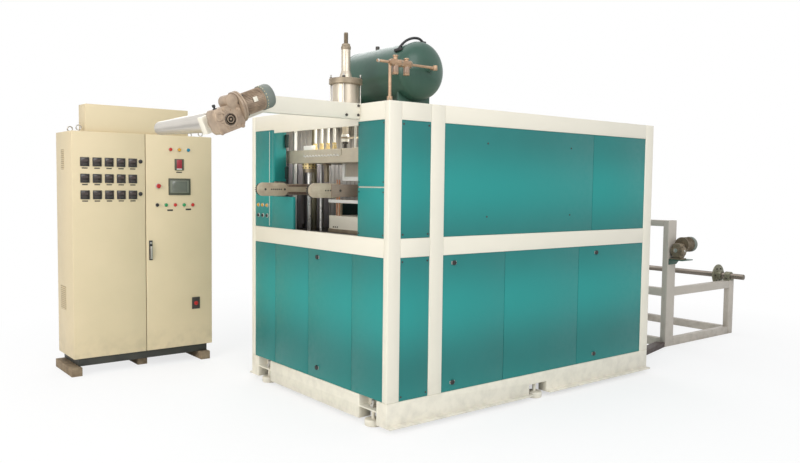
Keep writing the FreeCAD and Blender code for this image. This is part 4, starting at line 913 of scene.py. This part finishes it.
shape("gear_details", bronze_paint, gear_details)
breather = bmesh.new()
breather_foot = Vector((hub.x, gear_face + 0.03, hub.z)) + along * -0.052 + across_arm * 0.072
nut(breather, breather_foot, across_arm, 0.020, 0.010)
turned(breather, [(0.006, 0.01), (0.006, 0.016), (0.0095, 0.018), (0.0095, 0.028), (0.007, 0.031)],
       breather_foot, across_arm, 18)
shape("gear_breather", black_plastic, breather)

motor_low, motor_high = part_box("winder_motor")
motor_y = (motor_low.y + motor_high.y) / 2
motor_foot = Vector((hub.x, motor_y, hub.z)) + across_arm * 0.042 + along * 0.084
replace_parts(shape("motor_flange", bronze_paint, turned(bmesh.new(), [(0.074, 0), (0.090, 0.004),
    (0.090, 0.014), (0.086, 0.016), (0.086, 0.019), (0.090, 0.021), (0.090, 0.030), (0.084, 0.034)],
    motor_foot, along, 48)), "winder_motor")
shape("motor_shell", bronze_paint, turned(bmesh.new(), [(0.056, 0.034), (0.059, 0.044),
    (0.060, 0.165), (0.0655, 0.168), (0.0655, 0.172)], motor_foot, along, 48))
fin_turn = along.to_track_quat("Z", "Y").to_euler()
ring("motor_fins", block(bmesh.new(), (0.0575, -0.0012, 0.046), (0.0655, 0.0012, 0.162), 0.0008),
     bronze_paint, motor_foot, 40, 0.0, tuple(fin_turn))
shape("fan_cover", fan_blue, turned(bmesh.new(), [(0.0705, 0.172), (0.071, 0.176), (0.071, 0.222),
    (0.066, 0.233), (0.052, 0.240)], motor_foot, along, 48))
ring("fan_cover_rivets", turned(bmesh.new(), [(0.003, 0), (0.002, 0.0015)], (0.0705, 0, 0.179),
    (1, 0, 0), 8), brass, motor_foot, 24, 0.0, tuple(fin_turn))
ring("motor_flange_bolts", nut(bmesh.new(), (0, 0, 0.0335), (0, 0, 1), 0.013, 0.008), dark_steel_and_shade,
     motor_foot, 4, 0.078, tuple(fin_turn), 0.8)
plate = bmesh.new()
plate_centre = motor_foot + along * 0.105 + Vector((0, -0.0655, 0)) + across_arm * 0.012
block(plate, plate_centre - Vector((0.013, 0.004, 0.014)),
      plate_centre + Vector((0.013, 0.002, 0.014)), 0.001, Matrix.Rotation(-slope, 3, "Y"))
shape("motor_plate", cream, plate)

# The winding drum is a tapered steel sleeve with an open near end; a thin dark disc on that end is
# painted shade for the dark hollow inside.
dressed("winder_drum", drum_steel, 0.001)
shape("drum_mouth", dark_steel_and_shade, turned(bmesh.new(), [(0.057, 0), (0.057, 0.001)],
    ((drum_low.x + drum_high.x) / 2, drum_low.y + 0.0002, (drum_low.z + drum_high.z) / 2),
    (0, -1, 0), 48), "winding_drum")


# The control cabinet is folded sheet in beige powder coat: two doors, a box on top for the
# bus bars, a plinth, and channel feet that have begun to rust.
beige = finish("beige powder coat", (0.70, 0.585, 0.385), (0.665, 0.56, 0.365), 0.5, peel=0.008,
    dirt=(0.30, 0.25, 0.17))
rust = finish("rusty channel", (0.30, 0.23, 0.15), (0.19, 0.14, 0.09), 0.85, spots=20.0, peel=0.3,
    peel_scale=90.0)
plinth_black = finish("black plinth paint", (0.030, 0.032, 0.028), (0.05, 0.05, 0.042), 0.5,
    spots=8.0)
for node in ("cabinet_sides", "cabinet_back", "cabinet_roof_and_floor", "cabinet_top_box"):
    dressed(node, beige, 0.003)
dressed("cabinet_plinth", plinth_black, 0.003)
for node in ("cabinet_door_left", "cabinet_door_right"):
    dressed(node, beige, 0.005)
dressed("cabinet_feet", rust, 0.003)
dressed("lifting_eyes", bright_steel, 0.0)
cab_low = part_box("cabinet_door_left")[0]
door_y = cab_low.y

# Fifteen temperature controllers, each a black bezel with a dark face, a red reading and two
# small keys, over a little label strip.
dial_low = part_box("temperature_controllers")[0]
dial_pitch, dial_drop, dial_size = 0.0965, 0.133, 0.072
dial_start = Vector((dial_low.x + dial_size / 2, dial_low.y, dial_low.z + dial_size / 2))
screen_dark = finish("dark display", (0.03, 0.022, 0.02), (0.04, 0.03, 0.028), 0.2, coat=0.3)
reading_grey = finish("dim reading", (0.060, 0.045, 0.042), (0.085, 0.060, 0.055), 0.3)
label_grey = finish("label strip", (0.035, 0.030, 0.026), (0.05, 0.045, 0.038), 0.5)
for part, low, high, edge, material in (
        ("bezels", (-0.036, 0.0, -0.036), (0.036, 0.007, 0.036), 0.003, black_plastic),
        ("faces", (-0.029, -0.0012, -0.029), (0.029, 0.001, 0.029), 0.0008, screen_dark),
        ("readings", (-0.021, -0.0020, 0.002), (0.021, -0.0008, 0.019), 0.0, reading_grey),
        ("key_strips", (-0.018, -0.0020, -0.023), (0.018, -0.0008, -0.015), 0.0, label_grey),
        ("labels", (-0.022, 0.0055, -0.055), (0.022, 0.0075, -0.046), 0.0, label_grey)):
    made = rows(f"controller_{part}", block(bmesh.new(), low, high, edge), material, dial_start, (5,
        (dial_pitch, 0, 0)), (3, (0, 0, dial_drop)), body="left_door")
    if part == "bezels":
        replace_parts(made, "temperature_controllers")
knobs = bmesh.new()
for x, z in ((-0.597, 1.746), (-0.599, 1.475)):
    turned(knobs, [(0.017, 0), (0.017, 0.004), (0.011, 0.006), (0.010, 0.018), (0.008, 0.020)],
           Vector((corner.x + x, door_y, z)), (0, -1, 0), 20)
shape("door_knobs", black_plastic, knobs, "left_door")

# The right door carries lamps, a meter, a touch screen, a stop button and a row of keys.
red_lens = finish("red lens", (0.52, 0.035, 0.030), (0.46, 0.03, 0.026), 0.3, coat=0.3)
blue_lens = finish("blue lens", (0.012, 0.23, 0.36), (0.012, 0.20, 0.32), 0.3, coat=0.3)
green_lens = finish("green lens", (0.035, 0.30, 0.11), (0.03, 0.26, 0.095), 0.3, coat=0.3)
meter_red = finish("red meter face", (0.36, 0.035, 0.050), (0.31, 0.03, 0.045), 0.35)
frame_olive = finish("olive grey frame plastic", (0.085, 0.088, 0.060), (0.065, 0.068, 0.048), 0.45)
rim_grey = finish("screen rim", (0.20, 0.21, 0.165), (0.17, 0.18, 0.14), 0.4)
screen_blue = finish("screen glass", (0.155, 0.165, 0.135), (0.125, 0.135, 0.11), 0.15, coat=0.4)
bezels = bmesh.new()
lens_places = {
    "red": (red_lens, [(-0.337, 1.857), (-0.298, 1.381), (-0.139, 1.381)]),
    "amber": (amber, [(-0.259, 1.857)]),
    "blue": (blue_lens, [(-0.177, 1.857)]),
    "green": (green_lens, [(-0.379, 1.381), (-0.218, 1.381)]),
    "dark": (black_plastic, [(-0.457, 1.381)]),
}
for colour, (material, spots_there) in lens_places.items():
    form = bmesh.new()
    for x, z in spots_there:
        centre = Vector((corner.x + x, door_y, z))
        turned(bezels, [(0.0165, 0), (0.0165, 0.003), (0.0150, 0.005)], centre, (0, -1, 0), 24)
        turned(form, [(0.0142, 0.004), (0.0142, 0.012), (0.0115, 0.0155), (0, 0.0160)], centre,
               (0, -1, 0), 24)
    made = shape(f"{colour}_lenses", material, form, "right_door")
    if colour == "red":
        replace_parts(made, "door_buttons")
stop_centre = Vector((corner.x - 0.449, door_y, 1.543))
turned(bezels, [(0.022, 0), (0.022, 0.004), (0.019, 0.006)], stop_centre, (0, -1, 0))
shape("lens_bezels", bright_steel, bezels, "right_door")
shape("stop_button", red_lens, turned(bmesh.new(), [(0.010, 0.005), (0.010, 0.014), (0.019, 0.017),
    (0.019, 0.023), (0.015, 0.0275), (0, 0.028)], stop_centre, (0, -1, 0), 28), "right_door")
for name, low, high, material in (
        ("screen_frame", (-0.3570, 1.466), (-0.1590, 1.609), frame_olive),
        ("meter_frame", (-0.3010, 1.679), (-0.2190, 1.777), frame_olive),
        ("switch_plate", (-0.1490, 0.459), (-0.0760, 0.563), label_grey)):
    made = shape(name, material, block(bmesh.new(), (corner.x + low[0], door_y - 0.009, low[1]),
        (corner.x + high[0], door_y, high[1]), 0.003), "right_door")
    if name == "screen_frame":
        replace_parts(made, "door_screens")
for name, low, high, depth, material in (
        ("screen_rim", (-0.343, 1.486), (-0.176, 1.592), 0.0098, rim_grey),
        ("screen_glass", (-0.325, 1.494), (-0.192, 1.584), 0.0106, screen_blue),
        ("meter_face", (-0.284, 1.694), (-0.237, 1.771), 0.0098, meter_red),
        ("meter_foot", (-0.284, 1.686), (-0.237, 1.694), 0.0098, white_paint),
        ("meter_label", (-0.286, 1.658), (-0.234, 1.667), 0.0016, label_grey),
        ("key_label_one", (-0.368, 1.328), (-0.318, 1.342), 0.0016, label_grey),
        ("key_label_two", (-0.203, 1.334), (-0.153, 1.348), 0.0016, label_grey)):
    shape(name, material, block(bmesh.new(), (corner.x + low[0], door_y - depth, low[1]),
        (corner.x + high[0], door_y - max(depth - 0.003, 0.0), high[1]), 0.0006), "right_door")
switch = bmesh.new()
turned(switch, [(0.018, 0.009), (0.018, 0.013)], Vector((corner.x - 0.1125, door_y, 0.511)),
       (0, -1, 0), 24)
block(switch, (corner.x - 0.117, door_y - 0.022, 0.493), (corner.x - 0.108, door_y - 0.012, 0.529),
      0.002)
shape("switch_knob", red_lens, switch, "right_door")

# The door handle is a lift-and-turn swing handle with a lock barrel in a black dish.
handle_low, handle_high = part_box("cabinet_handle")
handle_x = (handle_low.x + handle_high.x) / 2
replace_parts(shape("handle_dish", black_plastic, block(bmesh.new(),
    (handle_low.x, handle_high.y - 0.006, handle_low.z), handle_high, 0.0025), "right_door"),
            "cabinet_handle")
grip = bmesh.new()
block(grip, (handle_x - 0.008, handle_low.y, handle_low.z + 0.010), (handle_x + 0.008,
    handle_high.y - 0.010, handle_low.z + 0.120), 0.003)
block(grip, (handle_x - 0.007, handle_high.y - 0.014, handle_low.z + 0.095), (handle_x + 0.007,
    handle_high.y - 0.004, handle_low.z + 0.118), 0.002)
turned(grip, [(0.009, 0.004), (0.009, 0.016), (0.007, 0.018)],
       (handle_x, handle_high.y, handle_low.z + 0.146), (0, -1, 0), 20)
shape("handle_grip", bright_steel, grip, "right_door")

# Louvred vents in the side walls.
vent_shadow_paint = finish("vent shadow", (0.42, 0.345, 0.22), (0.38, 0.31, 0.20), 0.7)
side_low, side_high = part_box("cabinet_sides")
for side, wall_x, facing in (("left", side_low.x, -1), ("right", side_high.x, 1)):
    for name, start_y, start_z, wide, count in (("upper", 2.86, 1.675, 0.080, 10),
                                                ("lower", 2.85, 0.515, 0.150, 12)):
        louvre = bmesh.new()
        inner, outer = sorted((0.0, facing * 0.004))
        block(louvre, (inner, 0.0, 0.0), (outer, wide, 0.0065), 0.001)
        rows(f"{side}_{name}_louvres", louvre, beige, (wall_x, corner.y + start_y, start_z), (1,
            (0, 0, 0)), (count, (0, 0, 0.016)))
        # Behind the louvres a thin darker sheet is painted shade for the openings between the slats.
        painted_slot_shade = bmesh.new()
        inner, outer = sorted((0.0, facing * 0.001))
        block(painted_slot_shade, (wall_x + inner, corner.y + start_y, start_z - 0.004), (wall_x + outer,
            corner.y + start_y + wide, start_z + 0.016 * count))
        shape(f"{side}_{name}_vent", vent_shadow_paint, painted_slot_shade)


# The unwinder stand is welded box tube in a greyish beige, with the reel shaft in pillow
# blocks, a brake disc, and a feed gear motor on a bracket.
stand_paint = finish("stand grey beige paint", (0.55, 0.50, 0.435), (0.50, 0.455, 0.395), 0.45,
    coat=0.1, dirt=(0.28, 0.24, 0.19), dirt_top=0.5)
casting = finish("oiled olive casting", (0.24, 0.23, 0.16), (0.17, 0.165, 0.115), 0.4, spots=12.0,
    metal=0.4)
shaft_steel = finish("brown worn shaft", (0.27, 0.23, 0.195), (0.21, 0.18, 0.15), 0.34, spots=6.0,
    metal=0.8, peel=0.0)
feed_paint = finish("olive gear paint", (0.24, 0.19, 0.125), (0.16, 0.125, 0.085), 0.42, spots=26.0,
    peel=0.05, peel_scale=120.0, metal=0.25)
for node in ("stand_posts", "stand_cross_bars", "stand_arms"):
    dressed(node, stand_paint, 0.004)
dressed("bearing_blocks", casting, 0.003)
dressed("reel_shaft", shaft_steel, 0.002)
dressed("reel_disc", casting, 0.002)
dressed("feed_bracket", tank_green, 0.002)
bearing_low, bearing_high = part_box("bearing_blocks")
shaft_low, shaft_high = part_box("reel_shaft")
shaft_x = (shaft_low.x + shaft_high.x) / 2
shaft_z = (shaft_low.z + shaft_high.z) / 2
rows("bearing_bolts", nut(bmesh.new(), (0, 0, 0), up, 0.018, 0.011), dark_steel_and_shade,
     (bearing_low.x + 0.0075, bearing_low.y + 0.030, bearing_low.z + 0.0155), (2,
    (bearing_high.x - bearing_low.x - 0.015, 0, 0)), (2,
    (0, bearing_high.y - bearing_low.y - 0.060, 0)))
disc_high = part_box("reel_disc")[1]
ring("disc_bolts", nut(bmesh.new(), (0, 0, 0), (0, 0, 1), 0.016, 0.008), dark_steel_and_shade,
     (shaft_x, disc_high.y - 0.0145, shaft_z), 6, 0.075, (math.pi / 2, 0, 0), body="reel")
gear_motor_low, gear_motor_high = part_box("feed_gear_motor")
feed_x, feed_y = gear_motor_low.x, (gear_motor_low.y + gear_motor_high.y) / 2
feed_z = 1.020
feed_gear = bmesh.new()
block(feed_gear, (feed_x + 0.006, feed_y - 0.050, 0.890), (feed_x + 0.099, feed_y + 0.050, 1.036),
      0.022)
block(feed_gear, (feed_x, feed_y - 0.055, 0.878), (feed_x + 0.105, feed_y + 0.055, 0.892), 0.003)
turned(feed_gear, [(0.052, 0), (0.052, 0.006), (0.046, 0.010), (0.046, 0.100), (0.052, 0.104),
    (0.052, 0.110)], (feed_x + 0.052, feed_y + 0.055, 0.962), (0, -1, 0), 40)
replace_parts(shape("feed_gearbox", feed_paint, feed_gear), "feed_gear_motor")
feed_motor = bmesh.new()
feed_foot = Vector((feed_x + 0.105, feed_y, feed_z))
turned(feed_motor, [(0.075, 0), (0.075, 0.012), (0.066, 0.016), (0.066, 0.118), (0.068, 0.120)],
       feed_foot, (1, 0, 0), 48)
shape("feed_motor", feed_paint, feed_motor)
feed_turn = tuple(Vector((1, 0, 0)).to_track_quat("Z", "Y").to_euler())
ring("feed_motor_fins", block(bmesh.new(), (0.064, -0.0013, 0.020), (0.0735, 0.0013, 0.114),
    0.0008), feed_paint, feed_foot, 36, 0.0, feed_turn)
shape("feed_fan_cover", fan_blue, turned(bmesh.new(), [(0.0745, 0.120), (0.075, 0.124),
    (0.075, 0.160), (0.070, 0.170), (0.056, 0.175)], feed_foot, (1, 0, 0), 48))
feed_cover = bmesh.new()
turned(feed_cover, [(0.040, 0), (0.040, 0.004), (0.036, 0.007), (0.016, 0.007), (0.014, 0.010)],
       (feed_x + 0.052, feed_y - 0.055, 0.965), (0, -1, 0), 32)
turned(feed_cover, [(0.036, 0), (0.036, 0.006), (0.030, 0.009)], (feed_x + 0.007, feed_y, 0.968),
       (-1, 0, 0), 32)
shape("feed_gear_cover", feed_paint, feed_cover)
feed_hub = bmesh.new()
turned(feed_hub, [(0.020, 0), (0.020, 0.003), (0.012, 0.006)], (feed_x - 0.0015, feed_y, 0.968),
       (-1, 0, 0), 24)
turned(feed_hub, [(0.012, 0), (0.012, 0.004), (0.009, 0.007)],
       (feed_x + 0.052, feed_y - 0.0645, 0.965), (0, -1, 0), 24)
shape("feed_gear_hubs", bright_steel, feed_hub)
ring("feed_cover_bolts", nut(bmesh.new(), (0, 0, 0), (0, 0, 1), 0.009, 0.005), dark_steel_and_shade,
     (feed_x + 0.052, feed_y - 0.0548, 0.965), 6, 0.0455, (math.pi / 2, 0, 0))

# The cable tray is folded sheet, painted dark brown.
brown_paint = finish("brown tray paint", (0.045, 0.03, 0.026), (0.07, 0.048, 0.04), 0.5)
dressed("cable_tray", brown_paint, 0.002)

low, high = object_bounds()
